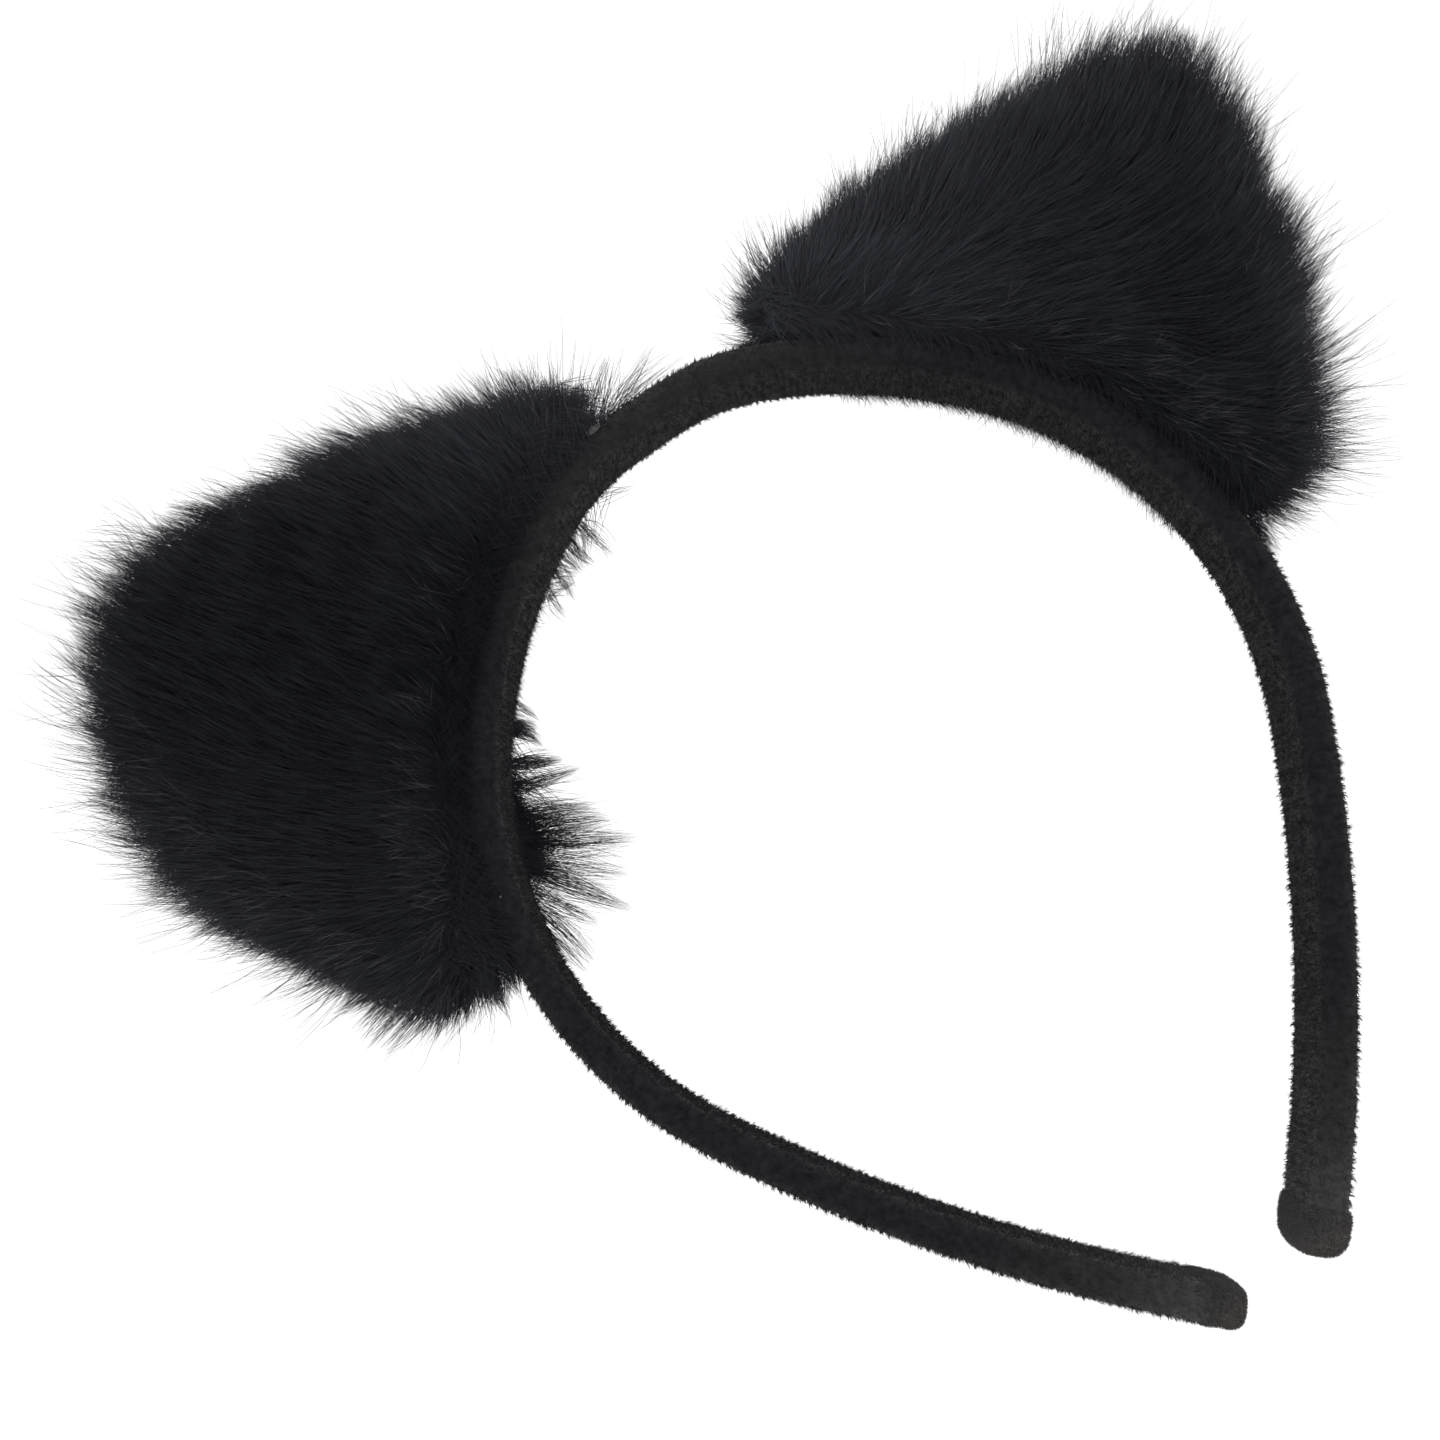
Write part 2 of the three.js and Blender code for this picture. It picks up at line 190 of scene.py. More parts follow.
def grid_faces(rows, columns, flip=False):
    """Quads between rows of points that each close on themselves."""
    row = np.arange(rows - 1)[:, None] * columns
    column = np.arange(columns)[None, :]
    beside = (column + 1) % columns
    above = row + columns
    quads = np.stack([row + column, row + beside, above + beside, above + column], -1).reshape(-1, 4)
    return quads[:, ::-1] if flip else quads


def fan(point, ring):
    """Triangles from one point to the neighbours on a closed ring."""
    return np.stack([np.full(len(ring), point), ring, np.roll(ring, -1)], -1)


def tube_grid(along, columns):
    """Every place along a tube with every share of its girth."""
    return np.meshgrid(along, np.arange(columns) / columns, indexing="ij")


def tube(name, points, flip):
    """A mesh through rows of points that each close on themselves."""
    return new_mesh(name, points.reshape(-1, 3), [grid_faces(*points.shape[:2], flip)])


def unit(v):
    return v / np.maximum(np.linalg.norm(v, axis=-1, keepdims=True), 1e-9)


def ripple(a, b, seed, waves=9, longest=6.0, shortest=1.2):
    """Smooth irregular variation over two coordinates, about -1 to 1."""
    rng = np.random.default_rng(seed)
    total = np.zeros(np.broadcast(a, b).shape)
    for _ in range(waves):
        length = rng.uniform(shortest, longest)
        turn, phase = rng.uniform(0, 2 * math.pi, 2)
        total += np.sin(2 * math.pi * (a * math.cos(turn) + b * math.sin(turn)) / length + phase)
    return total / math.sqrt(waves / 2) / 1.8


# ---- Hair ----


def strand_paths(roots, normals, flows, lengths, lift, droop, steps=4):
    """Points along each hair: it leaves the fabric at the angle lift and bends over to the angle droop."""
    t = (np.arange(steps) + 0.5) / steps
    angle = lift[:, None] + (droop - lift)[:, None] * t
    heading = flows[:, None] * np.cos(angle)[..., None] + normals[:, None] * np.sin(angle)[..., None]
    step = heading * (lengths / steps)[:, None, None]
    return np.concatenate([roots[:, None], roots[:, None] + np.cumsum(step, 1)], 1)


def gather(paths, guides, nearest, strength):
    """Pulls hairs towards the guide hair of their clump, more towards the ends."""
    steps = paths.shape[1] - 1
    share = (strength[:, None] * (np.arange(steps + 1) / steps) ** 1.4)[..., None]
    return paths + (guides[nearest] - paths) * share


def keep_in_room(paths):
    """Shortens the hairs that would reach too far past the CAD's box."""
    reach = paths - paths[:, :1]
    room = np.where(reach > 0, CAD_HIGH + ROOM, CAD_LOW - ROOM) - paths[:, :1]
    share = np.divide(room, reach, out=np.ones_like(reach), where=np.abs(reach) > 1e-6)
    return paths[:, :1] + reach * np.minimum(share.min((1, 2)), 1)[:, None, None]


def hair_mesh(name, paths, radii, up, rng):
    """Three-sided tapered hairs along the paths."""
    paths = keep_in_room(paths)
    count, points = paths.shape[:2]
    rings = points - 1
    first = unit(paths[:, 1] - paths[:, 0])
    across = unit(np.cross(first, up))
    roll = rng.uniform(0, 2 * math.pi, count)
    vertices = np.empty((count, rings * 3 + 1, 3))
    for ring in range(rings):
        along = unit(paths[:, ring + 1] - paths[:, max(ring - 1, 0)])
        other = np.cross(across, along)
        radius = radii * (1 - 0.75 * (ring / rings) ** 1.5)
        for corner in range(3):
            angle = roll + corner * 2 * math.pi / 3
            vertices[:, ring * 3 + corner] = paths[:, ring] + radius[:, None] * (
                across * np.cos(angle)[:, None] + other * np.sin(angle)[:, None]
            )
    vertices[:, -1] = paths[:, -1]
    base = (np.arange(count) * (rings * 3 + 1))[:, None, None]
    quads = np.roll(grid_faces(rings, 3, flip=True), 1, 1)
    tips = fan(rings * 3, rings * 3 - 3 + np.arange(3))[:, [1, 0, 2]]
    faces = [(base + quads).reshape(-1, 4), (base + tips).reshape(-1, 3)]
    return new_mesh(name, vertices.reshape(-1, 3), faces)


# ---- Materials ----


def set_inputs(node, values):
    for key, value in values.items():
        node.inputs[key.replace("_", " ")].default_value = value
    return node


def principled(name, **inputs):
    made = bpy.data.materials.new(name)
    made.use_nodes = True
    return made, made.node_tree, set_inputs(made.node_tree.nodes["Principled BSDF"], inputs)


def add_node(tree, kind, **inputs):
    return set_inputs(tree.nodes.new("ShaderNode" + kind), inputs)


def link(source, out, target, into):
    source.id_data.links.new(source.outputs[out], target.inputs[into])


def colour_ramp(tree, stops):
    """A ramp through colours given as (position, red, green, blue)."""
    node = add_node(tree, "ValToRGB")
    ramp = node.color_ramp
    while len(ramp.elements) < len(stops):
        ramp.elements.new(0.5)
    for element, (position, *colour) in zip(ramp.elements, stops):
        element.position = position
        element.color = (*colour, 1)
    return node


def noise_colour(tree, shader, dark, light, scale):
    """Base colour that wanders between two tones."""
    where = add_node(tree, "TexCoord")
    noise = add_node(tree, "TexNoise", Scale=scale, Detail=4.0)
    ramp = colour_ramp(tree, [(0.35, *dark), (0.68, *light)])
    link(where, "Object", noise, "Vector")
    link(noise, "Fac", ramp, "Fac")
    link(ramp, "Color", shader, "Base Color")
    return where


def shade_along(tree, shader, where, axis, start, end, stops, tone):
    """Mixes a paler tone into the base colour by position along an axis, in metres from start to end. The stops
    are (share of the way, amount of the tone)."""
    along = add_node(tree, "VectorMath")
    along.operation = "DOT_PRODUCT"
    along.inputs[1].default_value = [float(a) for a in axis]
    share = add_node(tree, "MapRange", From_Min=float(start), From_Max=float(end))
    amount = colour_ramp(tree, [(at, level, level, level) for at, level in stops])
    mix = add_node(tree, "MixRGB", Color2=(*tone, 1))
    ground = shader.inputs["Base Color"].links[0].from_socket
    link(where, "Object", along, 0)
    link(along, "Value", share, "Value")
    link(share, "Result", amount, "Fac")
    link(amount, "Color", mix, "Fac")
    tree.links.new(ground, mix.inputs["Color1"])
    link(mix, "Color", shader, "Base Color")


def add_bump(tree, shader, where, scale, distance, strength):
    noise = add_node(tree, "TexNoise", Scale=scale, Detail=6.0)
    bump = add_node(tree, "Bump", Strength=strength, Distance=distance)
    link(where, "Object", noise, "Vector")
    link(noise, "Fac", bump, "Height")
    link(bump, "Normal", shader, "Normal")


# The velour is painted paler towards the tips, which is painted light, and a little paler at the crown; the
# ears' fur is painted paler towards one or both ends of its base, which is painted light as well.
DOWN = (0, 0, -1)
CROWN_TO_TIPS = 0.146  # metres from the crown down to the tips
# Shares of the way down from the crown, and how much of the lit tone at each: painted light towards the tips,
# and a little paler at the crown.
VELOUR_TIP_LIGHT = ((0.0, 0.12), (0.12, 0.0), (0.8, 0.0), (0.9, 0.15), (0.955, 0.5), (0.97, 0.9), (1.0, 1.0))
# How much of the lit tone the fur gets, by share along each ear's base from the crown end: painted light.
FUR_PAINTED_LIGHT = {
    "right": ((0.0, 1.0), (0.25, 0.75), (0.5, 0.28), (0.8, 0.0)),
    "left": ((0.0, 1.0), (0.1, 0.75), (0.3, 0.12), (0.55, 0.0), (0.75, 0.12), (1.0, 0.42)),
}
LIT_VELOUR = (0.064, 0.061, 0.059)
LIT_FUR = (0.0245, 0.025, 0.030)


def fur_material(name, dark, light, roughness, level, ear=None):
    made, tree, shader = principled(name, Roughness=roughness, Specular_IOR_Level=level)
    shader.inputs["Specular Tint"].default_value = (0.80, 0.86, 1.0, 1)
    where = noise_colour(tree, shader, dark, light, 260)
    # An ear's fur is painted paler towards the ends of its base: painted light.
    if ear:
        spec = EARS[ear]
        chord_start, chord_end = (
            hoop(spec["side"] * spec[end], BAND_THICKNESS)[0] * MM for end in ("start", "end")
        )
        chord = unit(chord_end - chord_start)
        ends = (chord_start @ chord, chord_end @ chord)
        shade_along(tree, shader, where, chord, *ends, FUR_PAINTED_LIGHT[ear], LIT_FUR)
    return made


def surface(name, dark, light, scale, bump=None, lit_tips=False, **inputs):
    """A material between two tones, with a bump given as (scale, depth in metres, strength), and, when asked,
    painted light that makes it paler towards the band's tips.
    """
    made, tree, shader = principled(name, **inputs)
    where = noise_colour(tree, shader, dark, light, scale)
    if lit_tips:
        shade_along(tree, shader, where, DOWN, 0.0, CROWN_TO_TIPS, VELOUR_TIP_LIGHT, LIT_VELOUR)
    if bump:
        add_bump(tree, shader, where, *bump)
    return made


FIBRE = {"Roughness": 0.9, "Specular_IOR_Level": 0.12}
# The band's velour and its pile get painted light, paler towards the tips.
VELOUR = surface(
    "velour", (0.0048, 0.0048, 0.0058), (0.0095, 0.0095, 0.0112), 900, (3600, 0.0002, 0.6), True,
    Roughness=0.95, Specular_IOR_Level=0.12, Sheen_Weight=0.06,
)
PILE = surface("velour_pile", (0.007, 0.007, 0.0085), (0.017, 0.017, 0.0195), 900, None, True, **FIBRE)
# A paler copy of the pile for the tips: painted light, as the tips catch more light.
LIT_TIP_FIBRE = surface("lit_tip_pile", (0.020, 0.020, 0.021), (0.040, 0.039, 0.040), 900, None, True, **FIBRE)
# The left ear's tones and specular level are a darker copy of the right's: painted shade, as that ear gets less
# light.
FUR_TONES = {
    "right": {
        "guard": ((0.0045, 0.0047, 0.0062), (0.011, 0.0114, 0.0145), 0.55, 0.24),
        "under": ((0.004, 0.004, 0.0052), (0.009, 0.009, 0.011), 0.7, 0.16),
    },
    "left": {
        "guard": ((0.0032, 0.0033, 0.0045), (0.0085, 0.0088, 0.0115), 0.55, 0.17),
        "under": ((0.003, 0.003, 0.0042), (0.007, 0.0072, 0.0092), 0.7, 0.12),
    },
}
HAIR = {
    ear: {kind: fur_material(f"{ear}_{kind}_hair", *look, ear) for kind, look in kinds.items()}
    for ear, kinds in FUR_TONES.items()
}
# Paler than the ears' own hair: painted light on the tufts, which lie in shade behind the band.
LIT_TUFT_HAIR = fur_material("lit_tuft_hair", (0.009, 0.0092, 0.011), (0.021, 0.0215, 0.025), 0.6, 0.25)
FUZZ = fur_material("grey_fuzz", (0.07, 0.07, 0.073), (0.15, 0.15, 0.155), 0.8, 0.2)
BACKING = surface(
    "under_fur", (0.006, 0.006, 0.0075), (0.014, 0.014, 0.017), 900, (3000, 0.0005, 0.8),
    Roughness=0.95, Specular_IOR_Level=0.1,
)
GLUE, SOAKED_GLUE = (
    surface(name, dark, light, 1500, (2200, 0.0002, 0.4), Roughness=0.3, Transmission_Weight=clear)
    for name, dark, light, clear in (
        ("hot_glue", (0.024, 0.024, 0.025), (0.065, 0.065, 0.065), 0.5),
        ("glue_full_of_lint", (0.012, 0.012, 0.013), (0.03, 0.03, 0.031), 0.1),
    )
)
PLASTIC, FELT, THREAD = (
    surface(name, dark, light, grain / 3, (grain, depth, 0.5), Roughness=roughness)
    for name, dark, light, roughness, grain, depth in (
        ("hoop_plastic", (0.010, 0.010, 0.011), (0.016, 0.016, 0.017), 0.42, 90, 0.00008),
        ("felt", (0.012, 0.012, 0.013), (0.026, 0.026, 0.028), 0.95, 1500, 0.0003),
        ("thread", (0.006, 0.006, 0.007), (0.014, 0.014, 0.016), 0.6, 4000, 0.0001),
    )
)


def finish_piece(made, look, body=None):
    """Gives a piece its material and slot, and attaches it to the body when one is given."""
    made.data.materials.append(look)
    if body:
        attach(made, body)
    return made


# ---- Band ----


def band_section(turns):
    """Points round the sleeve's section at shares of its girth: y, offset from the inner face, and normals."""
    corner = SLEEVE_CORNER
    flat_y = BAND_WIDTH - 2 * corner
    flat_r = BAND_THICKNESS - 2 * corner
    arc = corner * math.pi / 2
    sides = [flat_y, arc, flat_r, arc, flat_y, arc, flat_r, arc]
    ends = np.cumsum(sides)
    d = np.asarray(turns, float) * ends[-1]
    y, r, ny, nr = (np.zeros_like(d) for _ in range(4))
    top = corner + flat_r
    centres = [(flat_y / 2, corner), (flat_y / 2, top), (-flat_y / 2, top), (-flat_y / 2, corner)]
    for index in range(8):
        begin = ends[index] - sides[index]
        inside = (d >= begin) & (d <= ends[index])
        t = (d[inside] - begin) / sides[index]
        quarter, curved = divmod(index, 2)
        heading = -math.pi / 2 + quarter * math.pi / 2
        turn = heading + t * curved * math.pi / 2
        (from_y, from_r), (to_y, to_r) = centres[quarter - 1 + curved], centres[quarter]
        ny[inside], nr[inside] = np.cos(turn), np.sin(turn)
        y[inside] = from_y + (to_y - from_y) * t + corner * np.cos(turn)
        r[inside] = from_r + (to_r - from_r) * t + corner * np.sin(turn)
    return y, r, ny, nr


GIRTH = 2 * (BAND_WIDTH + BAND_THICKNESS) - (8 - 2 * math.pi) * SLEEVE_CORNER


def band_relief(s, y, r):
    """How far the velour stands up: fine ribs across the band, a shallow groove along its middle, and wear."""
    ribs = 0.06 * np.sin(2 * math.pi * (s + 0.12 * ripple(s, y, 3)) / RIB_PITCH)
    lumps = 0.045 * ripple(s, y + r, 5, waves=12, longest=7.0, shortest=1.8)
    groove = -0.06 * np.exp(-((y / 0.8) ** 2))
    return VELOUR_LIFT + ribs + lumps + groove


def band_points(s, turns, lift=0.0):
    y, r, ny, nr = band_section(turns)
    points, out, along = hoop(s, r)
    points[..., 1] += y
    normals = out * nr[..., None]
    normals[..., 1] += ny
    return points + normals * (band_relief(s, y, r) + lift)[..., None], normals, along


# Where the band flexes: the bodies that meet there, how far from the crown, and how far the bend reaches.
FLEX = {
    "right_side_flex": ("crown", "right_side", 17.5, 5.0),
    "right_arm_flex": ("right_side", "right_arm", 90.0, 7.0),
    "left_side_flex": ("crown", "left_side", -3.5, 5.0),
    "left_arm_flex": ("left_side", "left_arm", -83.0, 7.0),
}


def bend_at(piece, joint):
    """Bakes a piece's placement into its mesh. The joint's bodies, place and reach are looked up but not used.
    """
    inner, outer, at, reach = FLEX[joint]
    reach = math.copysign(reach, at)
    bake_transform(piece)


def sleeve(name, start, end, nodes, joint, seed):
    rows = int(abs(end - start) / SLEEVE_STEP)
    points, _, _ = band_points(*tube_grid(np.linspace(start, end, rows), SLEEVE_COLUMNS))
    side = 1 if start + end > 0 else -1
    made = tube(name, points, end < start)
    finish_piece(made, VELOUR)
    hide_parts(*nodes)
    rng = np.random.default_rng(seed)
    at = rng.uniform(min(start, end), max(start, end), int(abs(end - start) * PILE_DENSITY))
    around = rng.random(len(at))
    ear = EARS["right" if side > 0 else "left"]
    bare = (at * side < ear["start"] + 2) | (at * side > ear["end"] - 2) | (band_section(around)[3] < 0.5)
    at, around = at[bare], around[bare]
    batches = math.ceil(len(at) / PILE_BATCH)
    pieces = [made]
    for batch in range(batches):
        part = slice(batch, None, batches)
        pieces.append(velour_pile(f"{name}_pile_{batch + 1}", at[part], around[part], seed, rng))
    for piece in pieces:
        bend_at(piece, joint)


def velour_pile(name, at, around, seed, rng):
    count = len(at)
    roots, normals, along = band_points(at, around, -0.08)
    lean = unit(normals + 0.3 * along + 0.38 * rng.normal(size=(count, 3)))
    ribs = 1 + 0.3 * np.sin(2 * math.pi * at / RIB_PITCH)
    wear = 1 + 0.3 * ripple(at, around * GIRTH, seed + 1, longest=3.0, shortest=0.9)
    lengths = rng.uniform(0.35, 0.75, count) * ribs * wear
    flows = unit(along + 0.3 * rng.normal(size=(count, 3)))
    middles = roots + lean * (lengths * 0.55)[:, None]
    paths = np.stack([roots, middles, roots + (lean * 0.9 + flows * 0.25) * lengths[:, None]], 1)
    pile = hair_mesh(name, paths, rng.uniform(0.04, 0.062, count), flows, rng)
    return finish_piece(pile, PILE)


def tip_wrap(side, name, body, lift, seed):
    """The rounded cup of the same velour over the end of the band."""
    start = HALF_LENGTH - TIP_LENGTH
    end = HALF_LENGTH + TIP_REACH
    round_start = end - TIP_ROUND
    rounded = round_start + (end - round_start) * np.sin(np.linspace(0, 1, 46) * math.pi / 2)
    along = np.concatenate([np.linspace(start, round_start, 14)[:-1], rounded])
    columns = 64
    s, turns = tube_grid(along, columns)
    y, r, ny, nr = band_section(turns)
    share = np.clip((s - round_start) / (end - round_start), 0, 1)
    wide = np.maximum(1 - share**2.3, 0) ** 0.55
    deep = np.maximum(1 - share**6, 0) ** 0.5
    y = (y + ny * lift) * wide
    middle = BAND_THICKNESS / 2
    r = middle + (r - middle + nr * lift) * deep
    edge = np.clip((s - start) / 0.7, 0, 1) ** 0.5
    relief = (0.09 * ripple(s, y + r, seed, waves=12, longest=5.0, shortest=1.2)) * np.minimum(wide, deep)
    points, out, _ = hoop(side * s, middle + (r - middle) * (0.86 + 0.14 * edge) + nr * relief)
    points[..., 1] += y * (0.96 + 0.04 * edge) + ny * relief * wide
    made = tube(name, points, side < 0)
    finish_piece(made, VELOUR, body)
    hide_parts(f"{name}_wrap")
    rng = np.random.default_rng(seed)
    row = rng.integers(0, len(along) - 1, TIP_PILE)
    column = rng.integers(0, columns, TIP_PILE)
    beside = (column + 1) % columns
    a, b, c = points[row, column], points[row + 1, beside], points[row, beside]
    area = np.linalg.norm(np.cross(b - a, c - a), axis=1)
    keep = rng.random(len(area)) < area / np.quantile(area, 0.9)
    roots = (a + (b - a) * rng.random((TIP_PILE, 1)))[keep]
    normals = unit(np.cross(b - a, c - a))[keep] * -side
    centre = hoop(side * (start + 4), middle)[0]
    inward = np.sum(normals * (roots - centre), 1) < 0
    normals[inward] *= -1
    lean = unit(normals + 0.4 * rng.normal(size=normals.shape))
    lengths = rng.uniform(0.3, 0.6, (len(roots), 1))
    paths = np.stack([roots - lean * 0.05, roots + lean * lengths * 0.55, roots + lean * lengths], 1)
    radii = rng.uniform(0.045, 0.07, len(roots))
    pile = hair_mesh(name + "_pile", paths, radii, unit(rng.normal(size=roots.shape)), rng)
    finish_piece(pile, LIT_TIP_FIBRE, body)


SPLIT = 57.0  # the sleeve's fabric is laid in stretches that meet under the middle of each ear
sleeve("right_upper_sleeve", 7.0, SPLIT, ["crown_sleeve"], "right_side_flex", 11)
sleeve("right_lower_sleeve", SPLIT, SLEEVE_END, ["right_side_sleeve", "right_arm_sleeve"], "right_arm_flex", 12)
sleeve("left_upper_sleeve", 7.0, -SPLIT, ["left_side_sleeve"], "left_side_flex", 13)
sleeve("left_lower_sleeve", -SPLIT, -SLEEVE_END, ["left_arm_sleeve"], "left_arm_flex", 14)
tip_wrap(1, "right_tip", "right_arm", VELOUR_LIFT + 0.3, 21)
tip_wrap(-1, "left_tip", "left_arm", VELOUR_LIFT, 22)


# ---- Ears ----


class Ear:
    """An ear's outline and surface in its own frame: u from crown to cheek, v away from the head."""

    def __init__(self, name):
        self.name = name
        self.spec = spec = EARS[name]
        self.side = spec["side"]
        self.body = f"{name}_side"
        a = hoop(self.side * spec["start"], BAND_THICKNESS)[0]
        b = hoop(self.side * spec["end"], BAND_THICKNESS)[0]
        self.u = unit(b - a)
        self.v = np.array([-self.side * self.u[2], 0, self.side * self.u[0]])
        self.middle = (a + b) / 2
        self.outline = self.trace(PANEL_INSET)
        self.make_field()

    def place(self, uv, y):
        points = self.middle + uv[..., :1] * self.u + uv[..., 1:2] * self.v
        return points + np.asarray(y)[..., None] * np.array([0, 1, 0])

    def trace(self, inset):
        spec = self.spec
        margin = BASE_MARGIN + inset
        s = np.linspace(spec["start"] + margin, spec["end"] - margin, BASE_POINTS)
        base = hoop(self.side * s, BAND_THICKNESS + BASE_CLEARANCE)[0] - self.middle
        base = np.stack([base @ self.u, base @ self.v], -1)
        cheek_half, crown_half = spec["cheek_half"] - inset, spec["crown_half"] - inset
        radius = spec["tip_radius"] - inset / 2
        tip = np.array([TIP_SHIFT, spec["height"] - inset - radius])
        shrink = 1 - inset / spec["cheek_half"]
        cheek, crown = np.array(spec["cheek_bulge"]) * shrink, np.array(spec["crown_bulge"]) * shrink
        begin, end = touch_angle(tip, radius, cheek, 1), touch_angle(tip, radius, crown, -1)
        end += 2 * math.pi * math.ceil((begin - end) / (2 * math.pi))
        arc = np.linspace(begin, end, 24)
        arc = tip + radius * np.stack([np.cos(arc), np.sin(arc)], -1)
        parts = [
            base,
            quadratic(base[-1], (cheek_half, base[-1][1]), (cheek_half, CORNER_HEIGHT), 12),
            quadratic((cheek_half, CORNER_HEIGHT), cheek, arc[0], 30),
            arc[1:],
            quadratic(arc[-1], crown, (-crown_half, CORNER_HEIGHT), 30),
            quadratic((-crown_half, CORNER_HEIGHT), (-crown_half, base[0][1]), base[0], 12)[:-1],
        ]
        return np.concatenate(parts)

    def make_field(self):
        """How far each point of a grid lies inside the outline, negative outside."""
        low, high = self.outline.min(0) - 4, self.outline.max(0) + 4
        self.low = low
        counts = np.ceil((high - low) / FIELD_CELL).astype(int)
        ticks = [start + np.arange(count) * FIELD_CELL for start, count in zip(low, counts)]
        gu, gv = np.meshgrid(*ticks, indexing="ij")
        points = np.stack([gu.ravel(), gv.ravel()], -1)
        base = self.outline[:BASE_POINTS]
        sides = np.concatenate([self.outline[BASE_POINTS - 1 :], self.outline[:1]])
        to_base, to_sides = distance(points, base), distance(points, sides)
        sign = np.where(within(points, self.outline), 1.0, -1.0)
        self.inside = (sign * np.minimum(to_base, to_sides)).reshape(gu.shape)
        self.rise = (sign * np.minimum(to_base * 4, to_sides)).reshape(gu.shape)

    def depth(self, uv):
        """How far inside the outline."""
        return self.sample(self.inside, uv)

    def sample(self, d, uv):
        p = np.clip((uv - self.low) / FIELD_CELL, 0, np.array(d.shape) - 1.001)
        cell = p.astype(int)
        i, j = cell[..., 0], cell[..., 1]
        f, g = p[..., 0] - i, p[..., 1] - j
        low = d[i, j] * (1 - f) * (1 - g) + d[i + 1, j] * f * (1 - g)
        return low + d[i, j + 1] * (1 - f) * g + d[i + 1, j + 1] * f * g

    def height(self, uv):
        share = np.clip(self.sample(self.rise, uv) / PANEL_ROUND, 0, 1)
        lumps = 0.35 * ripple(uv[..., 0], uv[..., 1], 40 + self.side, longest=22.0, shortest=7.0)
        return PANEL_HEIGHT * np.sqrt(1 - (1 - share) ** 2) + lumps * share

    def surface(self, uv, face):
        """Points and outward normals of one face's under-fur."""
        step = 0.4
        h = self.height(uv)
        du = (self.height(uv + [step, 0]) - self.height(uv - [step, 0])) / (2 * step)
        dv = (self.height(uv + [0, step]) - self.height(uv - [0, step])) / (2 * step)
        normals = -du[..., None] * self.u - dv[..., None] * self.v + face * np.array([0, 1.0, 0])
        return self.place(uv, face * (PANEL_GAP + h)), unit(normals)

    def lay(self, uv):
        """Direction of the pile in (u, v) and how far it stands out past the edge."""
        marks = np.array(self.spec["lay"], float)
        away = np.linalg.norm(uv[:, None] - marks[None, :, :2], axis=2)
        weight = 1 / (away + 1.5) ** 3
        weight /= weight.sum(1, keepdims=True)
        angle = np.radians(marks[:, 2])
        flow = weight @ np.stack([np.cos(angle), np.sin(angle)], -1)
        return unit(flow), weight @ marks[:, 3]

    def scatter(self, count, rng, edge_share):
        """Random places on a face, edge_share of them in the strip along its edge."""
        low, high = self.outline.min(0), self.outline.max(0)
        near, found = int(count * edge_share), []
        for wanted, limit in ((near, EDGE_STRIP), (count - near, math.inf)):
            kept = np.zeros((0, 2))
            while len(kept) < wanted:
                tried = rng.uniform(low, high, (wanted * 2, 2))
                d = self.depth(tried)
                kept = np.concatenate([kept, tried[(d > 0.15) & (d < limit)]])
            found.append(kept[:wanted])
        return np.concatenate(found)


def touch_angle(tip, radius, point, turn):
    away = point - tip
    return math.atan2(away[1], away[0]) + turn * math.acos(radius / np.linalg.norm(away))


def quadratic(a, b, c, count):
    t = np.linspace(0, 1, count + 1)[1:, None]
    a, b, c = (np.asarray(p, float) for p in (a, b, c))
    return a * (1 - t) ** 2 + 2 * b * t * (1 - t) + c * t**2


def distance(points, line):
    """Distance from each point to an open line."""
    nearest = np.full(len(points), 1e9)
    for a, b in zip(line[:-1], line[1:]):
        edge = b - a
        t = np.clip(((points - a) @ edge) / max(edge @ edge, 1e-12), 0, 1)
        nearest = np.minimum(nearest, np.linalg.norm(points - a - t[:, None] * edge, axis=1))
    return nearest


def within(points, polygon):
    crossings = np.zeros(len(points), int)
    for a, b in zip(polygon, np.roll(polygon, -1, 0)):
        if a[1] != b[1]:
            spans = (a[1] > points[:, 1]) != (b[1] > points[:, 1])
            crossings += spans & (points[:, 0] < a[0] + (points[:, 1] - a[1]) / (b[1] - a[1]) * (b[0] - a[0]))
    return crossings % 2 == 1


def under_fur(ear, face, label):
    """The dense under-fur of one panel as a closed pillow, flat on the side towards the stiffener."""
    outline = ear.outline
    centre = outline.mean(0)
    shares = 1 - np.linspace(0, 1, 26)[:-1] ** 1.6
    rings = centre + (outline - centre) * shares[:, None, None]
    top, _ = ear.surface(rings, face)
    bottom = ear.place(rings, np.full(rings.shape[:2], face * PANEL_GAP))[1:]
    count, rows = len(outline), len(shares)
    peak, _ = ear.surface(centre[None], face)
    heart = ear.place(centre[None], np.array([face * PANEL_GAP]))
    vertices = np.concatenate([bottom[::-1].reshape(-1, 3), top.reshape(-1, 3), heart, peak])
    total = (2 * rows - 1) * count
    flip = (face < 0) == (ear.side > 0)
    quads = grid_faces(2 * rows - 1, count, flip)
    low = fan(total, np.arange(count))[:, [0, 2, 1]]
    high = fan(total + 1, total - count + np.arange(count))
    if flip:
        low, high = low[:, ::-1], high[:, ::-1]
    made = new_mesh(f"{ear.name}_ear_{label}_under_fur", vertices, [quads, low, high])
    finish_piece(made, BACKING, ear.body)
    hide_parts(f"{ear.name}_ear_{label}_fur")


